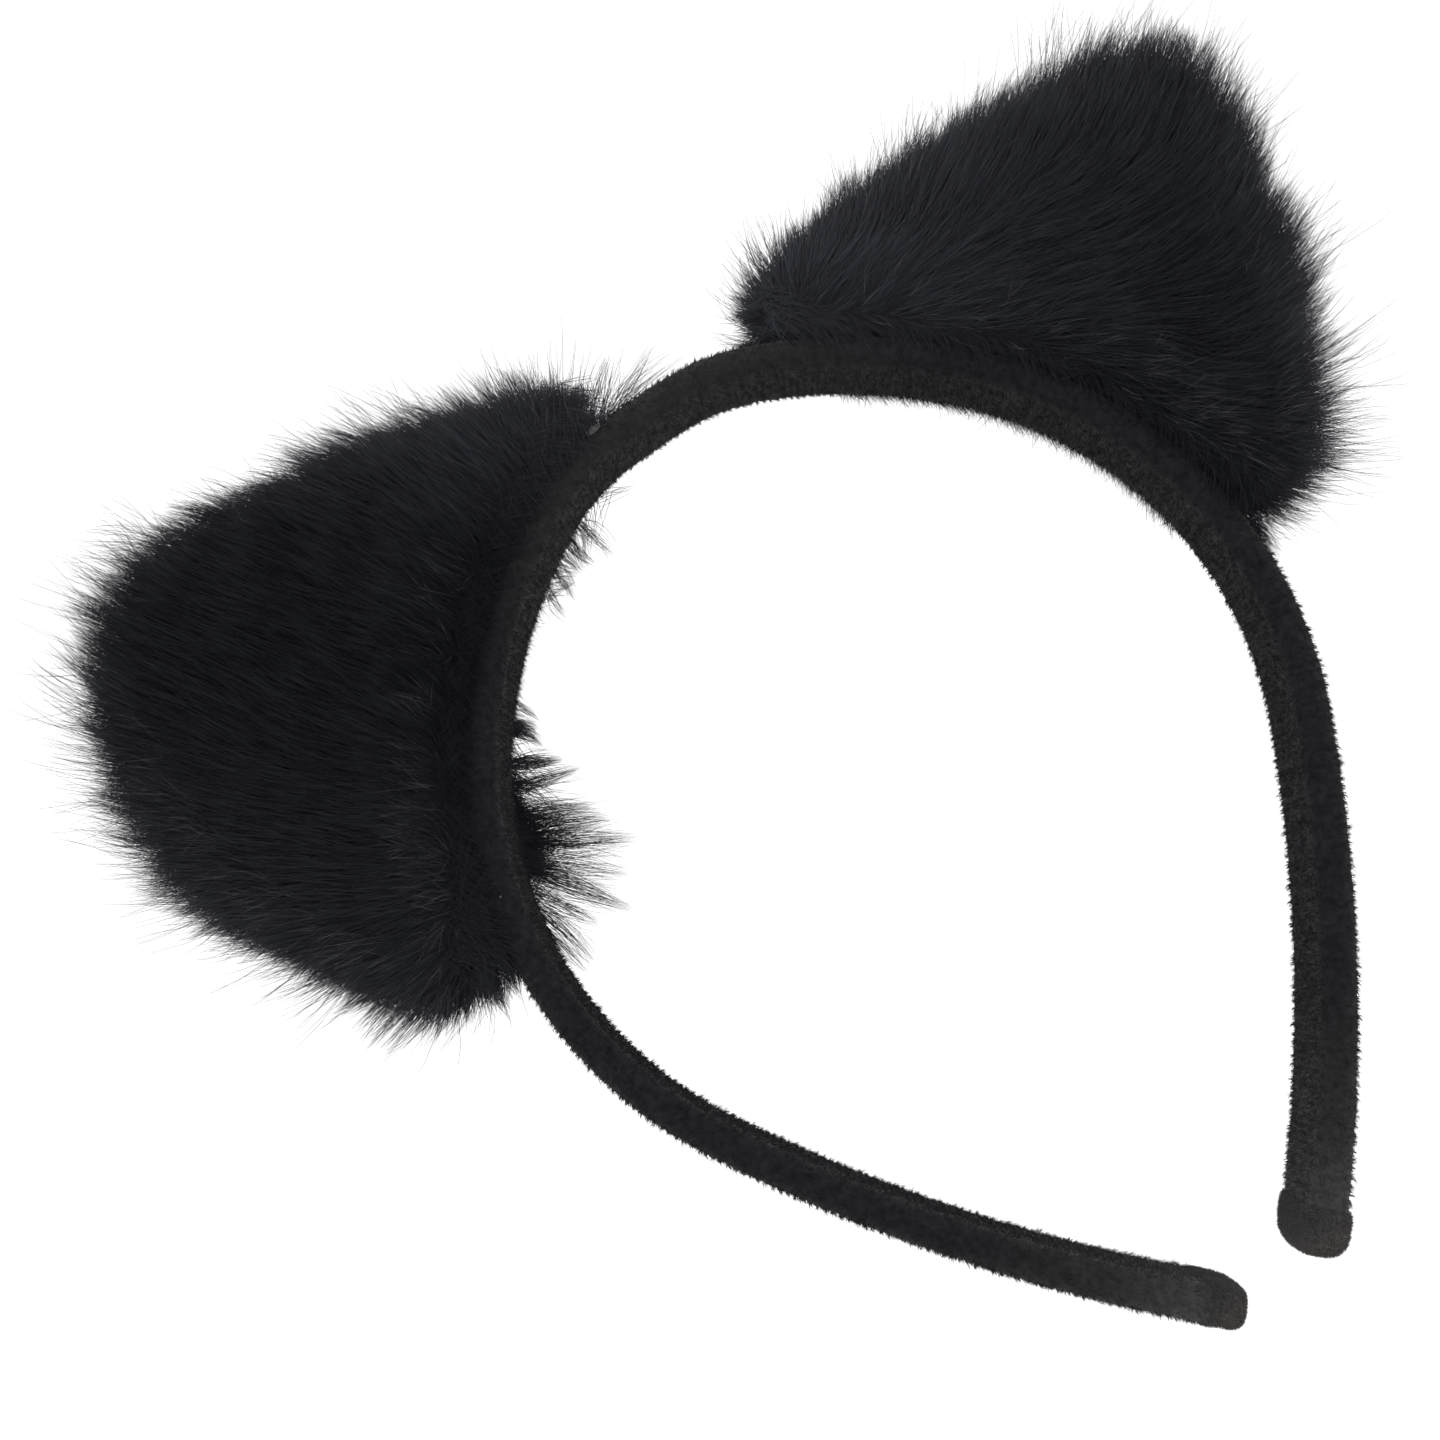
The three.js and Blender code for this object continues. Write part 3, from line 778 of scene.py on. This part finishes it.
# For each kind of hair: its share near the edge, its clumps from coarse to fine as (spacing, pull), the least
# and greatest radius, and how far it strays from the lay.
GROWTH = {
    "guard": (0.46, ((4.2, 0.82), (1.5, 0.45)), (0.032, 0.054), 0.15),
    "under": (0.5, ((2.2, 0.35),), (0.045, 0.07), 0.42),
    "stray": (1.0, ((4.4, 0.62),), (0.034, 0.052), 0.34),
}
EDGE_STRIP = 6.0  # of a panel, with more hair than the rest
EDGE_FADE = 5.0  # how fast the hair changes from the edge inwards


def ear_hair(ear, name, look, paths, radius, up, rng):
    """Hair of an ear, with radii between the two given."""
    made = hair_mesh(f"{ear.name}_ear_{name}", paths, rng.uniform(*radius, len(paths)), up, rng)
    finish_piece(made, look, ear.body)


def closest(points, centres):
    """The index of the closest centre to each point."""
    parts = [np.argmin(((part[:, None] - centres[None]) ** 2).sum(2), 1) for part in np.array_split(points, 24)]
    return np.concatenate(parts)


def headings(ear, flow, noise, normals, rng):
    """Directions along the fabric for hairs that follow the flow with some spread."""
    turn = noise * rng.normal(size=len(flow))
    c, s = np.cos(turn), np.sin(turn)
    turned = np.stack([flow[:, 0] * c - flow[:, 1] * s, flow[:, 0] * s + flow[:, 1] * c], -1)
    lying = turned[:, :1] * ear.u + turned[:, 1:] * ear.v
    return unit(lying - np.sum(lying * normals, 1, keepdims=True) * normals * 0.6)


def middle_length(reach):
    """Length of the long hair away from the edge."""
    return 8.0 + 0.8 * reach


def grow(ear, face, name, kind, count, seed):
    """Hair of one kind on one face, in clumps that follow the lay."""
    rng = np.random.default_rng(seed)
    edge_share, clumps, radius, noise = GROWTH[kind]
    long = kind != "under"
    uv = ear.scatter(count, rng, edge_share)
    roots, normals = ear.surface(uv, face)
    flow, reach = ear.lay(uv)
    edge = np.exp(-ear.depth(uv) / EDGE_FADE)

    area = np.ptp(ear.outline, axis=0).prod()
    gathered = []
    for spacing, pull in clumps:
        centres = ear.scatter(int(0.7 * area / spacing**2), rng, 0.45)
        vigour = 0.6 + 0.95 * rng.random(len(centres)) ** 1.4
        gathered.append((centres, closest(uv, centres), vigour, pull))
    vigour_here = 1 + (gathered[0][2][gathered[0][1]] - 1) * edge

    if kind == "guard":
        lengths = (reach + 3.4) * edge + middle_length(reach) * (1 - edge)
        short = rng.uniform(0.45, 0.85, count) * edge + rng.uniform(0.7, 1.1, count) * (1 - edge)
        lengths *= np.where(rng.random(count) < 0.45, rng.uniform(0.9, 1.2, count), short) * vigour_here
    elif kind == "stray":
        lengths = (reach + 6.0) * rng.uniform(0.8, 1.6, count) * vigour_here
    else:
        lengths = (3.0 + 0.25 * reach) * rng.uniform(0.6, 1.2, count) + 1.5 * (1 - edge)
    radii = rng.uniform(*radius, count)
    flows = headings(ear, flow, noise, normals, rng)
    if long:
        lift = np.radians(26 + 8.4 * rng.normal(size=count) + 6 * edge)
        droop = np.radians(3 + 7 * rng.normal(size=count) + 8 * edge)
    else:
        lift = np.radians(52 + 16 * rng.normal(size=count))
        droop = np.radians(22 + 14 * rng.normal(size=count))
    steps = 4 if long else 2
    paths = strand_paths(roots, normals, flows, lengths, lift, droop, steps)

    for centres, nearest, vigour, pull in gathered:
        points, lean = ear.surface(centres, face)
        along, out = ear.lay(centres)
        edge_here = np.exp(-ear.depth(centres) / EDGE_FADE)
        even = np.ones(len(centres))
        if long:
            lengths = (out + 3.6) * edge_here + middle_length(out) * (1 - edge_here)
            lift, droop = np.radians(26 + 6 * edge_here), np.radians(5) * even
        else:
            lengths = 4.0 + 0.3 * out
            lift, droop = np.radians(50) * even, np.radians(25) * even
        lengths = lengths * (1 + (vigour - 1) * edge_here) * (1.25 if kind == "stray" else 1.0)
        guides = strand_paths(points, lean, headings(ear, along, 0.2, lean, rng), lengths, lift, droop, steps)
        paths = gather(paths, guides, nearest, pull * (0.35 + 0.65 * edge) * rng.uniform(0.5, 1.25, count))
    made = hair_mesh(name, paths, radii, normals, rng)
    finish_piece(made, HAIR[ear.name]["guard" if long else "under"], ear.body)


def tuft(name, groups, look, seed, joint=None):
    """Loose tufts given as (s, offset, y, along, out, back, length, spread, count): where they leave the band,
    and how they point along it, out from the head and to the back. Those given a joint get no body."""
    rng = np.random.default_rng(seed)
    paths, radii, ups = [], [], []
    for s, offset, y, along, out, back, length, spread, count in groups:
        at = s + rng.normal(size=count) * spread
        point, normal, tangent = hoop(at, np.full(count, offset) + rng.normal(size=count) * 0.35)
        point[:, 1] += y + rng.normal(size=count) * 0.9
        mean = unit(np.array([along, out, back], float))
        aim = unit(mean + 0.15 * rng.normal(size=(count, 3)))
        heading = tangent * aim[:, :1] + normal * aim[:, 1:2] + aim[:, 2:] * np.array([0, 1, 0])
        foot, n0, t0 = hoop(s, offset)
        foot = foot + [0, y, 0]
        guide_heading = t0 * mean[0] + n0 * mean[1] + np.array([0, mean[2], 0])
        lengths = length * rng.uniform(0.5, 1.1, count)
        up = unit(np.cross(heading, [0.3, 1, 0.2]))
        curve = np.radians(20 * rng.normal(size=count))
        own = strand_paths(point, up, unit(heading), lengths, -curve, curve)
        zero, ahead = np.zeros(1), guide_heading[None]
        guide = strand_paths(foot[None], up[:1], ahead, zero + length * 1.05, zero, curve[:1] * 0.4)
        hold = np.where(rng.random(count) < 0.55, rng.uniform(0.55, 0.95, count), rng.uniform(0.0, 0.45, count))
        locks = max(1, count // 60)
        guides = np.concatenate([guide, own[: locks - 1]])
        paths.append(gather(own, guides, np.arange(count) % locks, hold))
        radii.append(rng.uniform(0.032, 0.054, count))
        ups.append(up)
    made = hair_mesh(name, np.concatenate(paths), np.concatenate(radii), np.concatenate(ups), rng)
    finish_piece(made, look, None if joint else "left_side")
    if joint:
        bend_at(made, joint)


FLAP_Y = 8.05  # the back panel's hem, behind the band's rear edge
FLAP_OFFSETS = (1.9, 4.9)


def rear_flap(ear, seed):
    """The hem of the back panel, turned down behind the band, with its own short hair."""
    spec, side = ear.spec, ear.side
    s = np.linspace(spec["start"] + 10, spec["end"] - 3, 140)
    columns = 22
    ends = np.clip(np.minimum(s - s[0], s[-1] - s) / 3.0, 0, 1)
    taper = np.sqrt(1 - (1 - ends) ** 2)[:, None]
    middle, half = sum(FLAP_OFFSETS) / 2, (FLAP_OFFSETS[1] - FLAP_OFFSETS[0]) / 2
    grid_s, turns = tube_grid(s, columns)
    angle = turns * 2 * math.pi
    swell = 1 + 0.12 * ripple(grid_s, angle * 3, seed, longest=9.0, shortest=2.5)
    y = 1.45 * np.cos(angle) * taper * swell
    r = middle + half * np.sin(angle) * taper * swell
    points, out, _ = hoop(side * grid_s, r)
    points[..., 1] += FLAP_Y + y
    made = tube(f"{ear.name}_ear_hem", points, side < 0)
    finish_piece(made, BACKING, ear.body)
    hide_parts(f"{ear.name}_ear_rear_flap")

    rng = np.random.default_rng(seed)
    for kind, count, (low, high), drift, lifts, lengths, radius, look in (
        ("hair", 5200, (-0.2, 0.6), 0.75, (8, 45), (2.2, 4.6), (0.04, 0.06), HAIR[ear.name]["under"]),
        ("fuzz", 6500, (-0.8, 0.1), 0.3, (20, 75), (1.4, 3.4), (0.016, 0.028), FUZZ),
    ):
        at = rng.uniform(s[0] + 1, s[-1] - 0.5, count)
        around = rng.uniform(low * math.pi, high * math.pi, count)
        roots, out, along = hoop(side * at, middle + half * np.sin(around))
        roots[:, 1] += FLAP_Y + 1.4 * np.cos(around)
        normals = out * np.sin(around)[:, None]
        normals[:, 1] += np.cos(around)
        flows = unit(along * drift + out * 0.1 + 0.4 * rng.normal(size=(count, 3)))
        flows = unit(flows - 0.7 * np.sum(flows * normals, 1, keepdims=True) * normals)
        lift = np.radians(rng.uniform(*lifts, count))
        paths = strand_paths(roots, normals, flows, rng.uniform(*lengths, count), lift, lift * 0.4)
        ear_hair(ear, f"hem_{kind}", look, paths, radius, normals, rng)


# How far the hair at an ear's foot hangs down over the band, as (share of the ear's length from the crown,
# least, most), and how much of it points away from the crown.
FOOT_FALL = {
    "right": ((0.0, 0.4, 1.0), (0.4, 0.4, 1.0), (1.0, 0.5, 1.2)),
    "left": ((0.0, 0.9, 2.2), (0.35, 0.8, 2.0), (0.6, 0.45, 1.2), (1.0, 0.45, 1.2)),
}
FOOT_AWAY = {"right": 0.93, "left": 0.6}
FOOT_HAIRS = {"under": 9000, "guard": 5500}


def foot_hair(ear, kind, count, rng):
    """Hair along the foot of an ear that closes the groove and lies over the outer part of the band."""
    share = rng.random(count)
    at = ear.spec["start"] + 1.0 + share * (ear.spec["end"] - ear.spec["start"] - 2.0)
    face = np.where(rng.random(count) < 0.7, FRONT, BACK)
    rise = 0.15 + 7.0 * rng.random(count) ** 2.4
    bulge = np.sqrt(1 - (1 - np.clip(4 * rise / PANEL_ROUND, 0, 1)) ** 2)
    roots, out, along = hoop(ear.side * at, BAND_THICKNESS + BASE_CLEARANCE + rise)
    roots[:, 1] += face * (PANEL_GAP + PANEL_HEIGHT * bulge - 0.1)
    normals = np.zeros((count, 3))
    normals[:, 1] = face
    marks = np.array(FOOT_FALL[ear.name])
    least, most = (np.interp(share, marks[:, 0], marks[:, column]) for column in (1, 2))
    fall = least + (most - least) * rng.random(count)
    sway = np.where(rng.random(count) < FOOT_AWAY[ear.name], 1.0, -1.0)
    flows = along * sway[:, None] - out * fall[:, None] + 0.32 * rng.normal(size=(count, 3))
    flows[:, 1] = 0
    flows = unit(flows)
    deep = bulge < 0.85
    lift = np.radians(np.where(deep, rng.uniform(25, 50, count), rng.uniform(8, 24, count)))
    droop = np.radians(rng.uniform(-4, 8, count))
    lengths = np.where(deep, rng.uniform(2.5, 5.0, count), rng.uniform(4.5, 8.5, count))
    paths = strand_paths(roots, normals, flows, lengths, lift, droop)
    ear_hair(ear, f"foot_{kind}_hair", HAIR[ear.name][kind], paths, (0.034, 0.056), normals, rng)


def edge_fuzz(ear, seed):
    """Fine pale under-fuzz that shows between the long hairs along the cheek side of an ear."""
    rng = np.random.default_rng(seed)
    uv = ear.scatter(FUZZ_TRIED, rng, 1.0)
    uv = uv[(uv[:, 0] > 15) | (rng.random(len(uv)) < 0.25)][:FUZZ_KEPT]
    count = len(uv)
    face = np.where(rng.random(count) < 0.5, FRONT, BACK)
    roots, normals = np.empty((2, count, 3))
    for side in (FRONT, BACK):
        mask = face == side
        roots[mask], normals[mask] = ear.surface(uv[mask], side)
    flow, _ = ear.lay(uv)
    lying = unit(flow[:, :1] * ear.u + flow[:, 1:] * ear.v + 0.35 * rng.normal(size=normals.shape))
    lengths = rng.uniform(3.5, 7.0, count)
    lift, droop = (np.radians(rng.uniform(*limits, count)) for limits in ((10, 50), (0, 25)))
    paths = strand_paths(roots, normals, lying, lengths, lift, droop)
    ear_hair(ear, "edge_fuzz", FUZZ, paths, (0.018, 0.03), normals, rng)


def rim_hair(ear, count, seed):
    """Hair round the rim of an ear that closes the gap between its two panels."""
    rng = np.random.default_rng(seed)
    rim = np.concatenate([ear.outline[BASE_POINTS - 1 :], ear.outline[:1]])
    edges = rim[1:] - rim[:-1]
    spans = np.linalg.norm(edges, axis=1)
    pick = rng.choice(len(edges), count, p=spans / spans.sum())
    outward = np.stack([edges[:, 1], -edges[:, 0]], -1)[pick] / spans[pick, None]
    y = rng.uniform(-1, 1, count) * RIM_WIDTH
    sunk = np.where(np.abs(y) < PANEL_GAP, rng.uniform(-0.9, 1.6, count), rng.uniform(0, 0.6, count))
    uv = rim[pick] + edges[pick] * rng.random((count, 1)) - outward * sunk[:, None]
    flow, reach = ear.lay(uv)
    aim = unit(flow + 0.5 * outward + 0.35 * rng.normal(size=(count, 2)))
    flows = aim[:, :1] * ear.u + aim[:, 1:] * ear.v
    flows[:, 1] -= 0.3 * y / RIM_WIDTH + 0.25 * rng.normal(size=count)
    normals = outward[:, :1] * ear.u + outward[:, 1:] * ear.v
    lengths = (0.8 * reach + 3.0) * rng.uniform(0.5, 1.1, count)
    lift, droop = np.radians(rng.uniform(0, 25, count)), np.radians(rng.uniform(-8, 8, count))
    paths = strand_paths(ear.place(uv, y), normals, unit(flows), lengths, lift, droop, 3)
    locks = count // 30
    paths = gather(paths, paths[:locks], closest(uv, uv[:locks]), rng.uniform(0.1, 0.6, count))
    ear_hair(ear, "rim_hair", HAIR[ear.name]["under"], paths, (0.04, 0.062), normals, rng)


for index, name in enumerate(EARS):
    ear = Ear(name)
    for face, label in ((FRONT, "front"), (BACK, "back")):
        under_fur(ear, face, label)
        seed = 100 * (index + 1) + (10 if face == FRONT else 30)
        stem = f"{name}_ear_{label}"
        grow(ear, face, stem + "_guard_hair_a", "guard", HAIRS, seed)
        grow(ear, face, stem + "_guard_hair_b", "guard", HAIRS, seed + 1)
        grow(ear, face, stem + "_under_hair", "under", HAIRS, seed + 2)
        grow(ear, face, stem + "_stray_hair", "stray", STRAY_HAIRS, seed + 3)
    rear_flap(ear, 51 + index)
    foot_rng = np.random.default_rng(61 + index)
    for kind, count in FOOT_HAIRS.items():
        foot_hair(ear, kind, count, foot_rng)
    edge_fuzz(ear, 71 + index)
    rim_hair(ear, RIM_HAIRS, 76 + index)

# Tufts that stick out past the band and at the ears' corners.
tuft("left_ear_inner_tufts", [
    (-46, 0.8, 7.5, 1, -2.2, 0.3, 4.4, 0.8, 30), (-49.5, 0.6, 7.8, 1.3, -3.2, 0.2, 5.4, 0.7, 60),
    (-55, 0.8, 7.8, -0.4, -6.1, 0.2, 8, 0.6, 110), (-49.3, 1.2, 7.6, 0.4, -4, 0.2, 4.4, 0.9, 170),
    (-58.5, 0.8, 8, -1.4, -9.5, 0.4, 11, 0.6, 80), (-62.5, 0.8, 7.8, 0.2, -11, 0, 13, 0.7, 100),
    (-65, 0.8, 8.2, 0.9, -12, 0.3, 14.5, 0.6, 110), (-67, 0.8, 7.8, 2.7, -15.5, 0.1, 18, 0.5, 110),
    (-69, 0.8, 8.2, 6, -14, 0.3, 16.5, 0.5, 80), (-70.5, 0.8, 8, 9, -13.1, 0.2, 17.5, 0.5, 100),
    (-74, 0.8, 7.8, 8, -8, 0.2, 11.5, 0.6, 50), (-76.5, 0.9, 7.8, 9.5, -5.9, 0.1, 12.5, 0.5, 50),
    (-78.5, 1, 7.8, 8.9, -2.9, 0.2, 10.5, 0.6, 40), (-64, 0.8, 8, 2, -10, 0.2, 9, 6, 200),
    (-67, 1.4, 7.6, 1.5, -6, 0.2, 5.4, 3.2, 1000), (-60, 1.4, 7.6, 0, -6, 0.2, 3.6, 3.6, 400),
    (-11, 1, 7.5, -3.6, -2.6, 0.3, 6, 0.8, 12), (-16.5, 0.6, 7.8, 0.6, -5.4, 0.2, 7.4, 0.8, 30),
    (-19.5, 0.8, 7.8, 1.1, -3.2, 0.3, 5.6, 1, 30), (-24, 0.8, 7.8, 2.5, -4, 0.3, 6, 1, 28),
    (-27.5, 0.8, 7.6, 3.6, -4, 0.3, 6.2, 0.9, 24), (-21, 0.8, 7.8, 1.6, -4, 0.3, 4.4, 5, 140),
], LIT_TUFT_HAIR, 81)
tuft("left_ear_crown_tufts", [
    (-6.5, 6.5, 1, -8.5, 6.8, 0.3, 13.5, 0.8, 40), (-5.5, 4.9, -2, -1, 0.12, 0, 17.5, 1.1, 30),
    (-5.5, 4.9, 0, -1, 0.35, -0.1, 15.5, 1.3, 26), (-5.5, 5, 2, -1, 0.75, 0.1, 12, 1.4, 24),
    (-6.5, 6, 4, -6.2, 1.6, 0.2, 12, 0.9, 30), (-6, 5.6, 4.5, -10.8, 2, 0.2, 15, 0.8, 30),
    (-7, 7.5, 2, -4.1, 5.2, 0.3, 10, 1, 40), (-7, 8.5, -3.5, -3, 3, -0.4, 5, 1.5, 220),
    (-8, 7.5, 3.5, -3, 3, 0.4, 5, 1.5, 200),
], HAIR["left"]["guard"], 82, "left_side_flex")
tuft("left_ear_cheek_tufts", [
    (-79.5, 6.5, -5, 1, 0.35, -0.3, 7, 1.6, 260), (-79, 8.5, -3, 1, 0.7, 0.2, 8.5, 1.6, 260),
    (-80, 6.5, 4.5, 1, 0.3, 0.3, 7.5, 1.6, 240), (-79, 11, 1, 1, 0.8, 0.2, 8.5, 2.4, 260),
    (-79.5, 5.2, 0, 1, -0.1, 0, 7, 1.2, 340), (-79.5, 5.6, -5, 1, -0.12, -0.2, 6.5, 1.2, 260),
    (-79, 9.5, 0, 1, 0.1, 0, 9.5, 1.8, 420), (-79, 7.5, -4, 1, 0, -0.1, 9, 1.5, 340),
], HAIR["left"]["guard"], 83, "left_arm_flex")
tuft("right_ear_crown_tufts", [
    (23, 8, 2, -6.7, 8.3, 0.3, 12, 1, 30), (22.5, 7, 4, -8.4, 2.7, 0.2, 12, 1.2, 32),
    (22, 6, -3.5, -5, 0.6, -0.3, 6, 1.2, 160), (20.6, 6, 0, -1, 0.1, 0, 5.6, 1.4, 340),
    (20.8, 8.5, -4, -1, 0.3, -0.2, 5.4, 1.7, 300),
], HAIR["right"]["guard"], 84, "right_side_flex")
tuft("right_ear_cheek_tufts", [
    (86, 7, 1, 5.4, 0.6, 0.2, 11, 1.2, 130), (86.5, 6.5, 4, 5, -0.2, 0.3, 10.5, 1.2, 110),
    (86, 8.5, -3, 3, 1.6, -0.2, 8.5, 1.4, 200), (85, 11, 2, 2.4, 2.4, 0.2, 9.5, 1.8, 180),
    (84, 15, 0, 1.8, 3, 0.2, 9, 2, 160), (86.8, 5.5, 0, 1, 0.12, 0.1, 11.5, 1.2, 320),
    (86.5, 8.5, 1, 1, 0.5, 0.1, 13, 1.4, 300),
], HAIR["right"]["guard"], 85, "right_arm_flex")


# ---- Hot glue ----


def glue_drop(name, node, s, offset, axes, strings, seed):
    """A squeezed drop on the band's front edge, with the threads it was drawn out into."""
    rows, columns = 14, 20
    polar = (np.arange(rows) + 0.5) / rows * math.pi
    around = np.arange(columns) / columns * 2 * math.pi
    swell = 1 + 0.16 * ripple(polar[:, None] * 2, around[None, :], seed, longest=4.0, shortest=1.5)
    local = np.stack([
        np.sin(polar)[:, None] * np.cos(around) * swell,
        np.sin(polar)[:, None] * np.sin(around) * swell,
        np.cos(polar)[:, None] * swell,
    ], -1).reshape(-1, 3) * axes
    centre, normal, tangent = hoop(s, offset)
    centre = centre + [0, -(BAND_WIDTH / 2 + 0.25 + axes[1] * 0.8), 0]
    turn = np.stack([tangent, [0, 1, 0], normal])
    poles = np.array([[0, 0, axes[2]], [0, 0, -axes[2]]])
    vertices = centre + np.concatenate([local, poles]) @ turn
    total = rows * columns
    caps = [fan(total, np.arange(columns)), fan(total + 1, np.arange(total - columns, total))[:, [0, 2, 1]]]
    drop = new_mesh(name, vertices, [grid_faces(rows, columns, flip=True), *caps])
    finish_piece(drop, GLUE, "left_side")
    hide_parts(node)
    if strings:
        rng = np.random.default_rng(seed)
        begin = centre + rng.normal(size=(strings, 3)) * 0.3 * np.array(axes).max()
        end = begin + tangent * rng.uniform(-3.4, 3.4, (strings, 1))
        end = end + normal * rng.uniform(-1.6, 1.2, (strings, 1))
        sag = normal * -0.25
        t = np.linspace(0, 1, 5)[:, None]
        paths = begin[:, None] * (1 - t) + end[:, None] * t + sag * (4 * t * (1 - t))
        paths[..., 1] = centre[1] - 0.15
        up = np.tile(normal, (strings, 1))
        threads = hair_mesh(name + "_strings", paths, np.full(strings, 0.045), up, rng)
        finish_piece(threads, GLUE, "left_side")


glue_drop("left_glue_blob", "left_ear_glue_blob", -7.0, 3.5, (1.3, 0.22, 0.5), 9, 91)
glue_drop("left_glue_dot", "left_ear_glue_dot", -75.0, 2.1, (0.22, 0.12, 0.16), 0, 92)

LOOKS = {"_hoop": PLASTIC, "_stiffener": FELT, "_seam": THREAD, "_base_glue": SOAKED_GLUE}
for node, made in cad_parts.items():
    for ending, look in LOOKS.items():
        if node.endswith(ending):
            made.data.materials.clear()
            made.data.materials.append(look)

# ---- Camera, light and floor ----

CAMERA_AT = Vector((-24.8, -183.3, -74.2)) * MM
PITCH, YAW, ROLL = math.radians(-10.21), math.radians(2.57), math.radians(35.58)
LENS = 32.52

camera_data = bpy.data.cameras.new("camera")
camera_data.sensor_width = 36
camera_data.lens = LENS
camera_data.clip_start, camera_data.clip_end = 0.005, 20
camera = add_object("camera", camera_data)
forward = Vector((math.sin(YAW) * math.cos(PITCH), math.cos(YAW) * math.cos(PITCH), -math.sin(PITCH)))
level = Vector((math.cos(YAW), -math.sin(YAW), 0))
upright = Vector((math.sin(YAW) * math.sin(PITCH), math.cos(YAW) * math.sin(PITCH), math.cos(PITCH)))
right = level * math.cos(ROLL) - upright * math.sin(ROLL)
up = level * math.sin(ROLL) + upright * math.cos(ROLL)
camera.matrix_world = Matrix.Translation(CAMERA_AT) @ Matrix((right, up, -forward)).transposed().to_4x4()
bpy.context.scene.camera = camera

world = bpy.data.worlds.new("studio")
world.use_nodes = True
set_inputs(world.node_tree.nodes["Background"], {"Color": (1, 1, 1, 1), "Strength": 1.12})
bpy.context.scene.world = world
bpy.context.scene.view_settings.view_transform = "Standard"


def area_light(name, at, size, power):
    data = bpy.data.lights.new(name, "AREA")
    data.size = size
    data.energy = power
    lamp = add_object(name, data)
    lamp.location = Vector(at)
    lamp.rotation_mode = "QUATERNION"
    lamp.rotation_quaternion = (Vector((0, 0, -0.06)) - lamp.location).to_track_quat("-Z", "Y")


area_light("key", (-0.5, -0.7, 0.8), 0.7, 7.0)
area_light("fill", (0.8, -0.5, 0.1), 0.8, 3.0)

FLOOR = -0.3
FLOOR_HALF = 6
floor_mesh = bpy.data.meshes.new("floor")
corners = ((-1, -1), (1, -1), (1, 1), (-1, 1))
floor_mesh.from_pydata([(x * FLOOR_HALF, y * FLOOR_HALF, FLOOR) for x, y in corners], [], [(0, 1, 2, 3)])
floor = add_object("floor", floor_mesh)
floor.data.materials.append(principled("paper", Base_Color=(0.95, 0.95, 0.95, 1), Roughness=0.9)[0])
floor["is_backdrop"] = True

size["shown"] = [list(corner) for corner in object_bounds()]
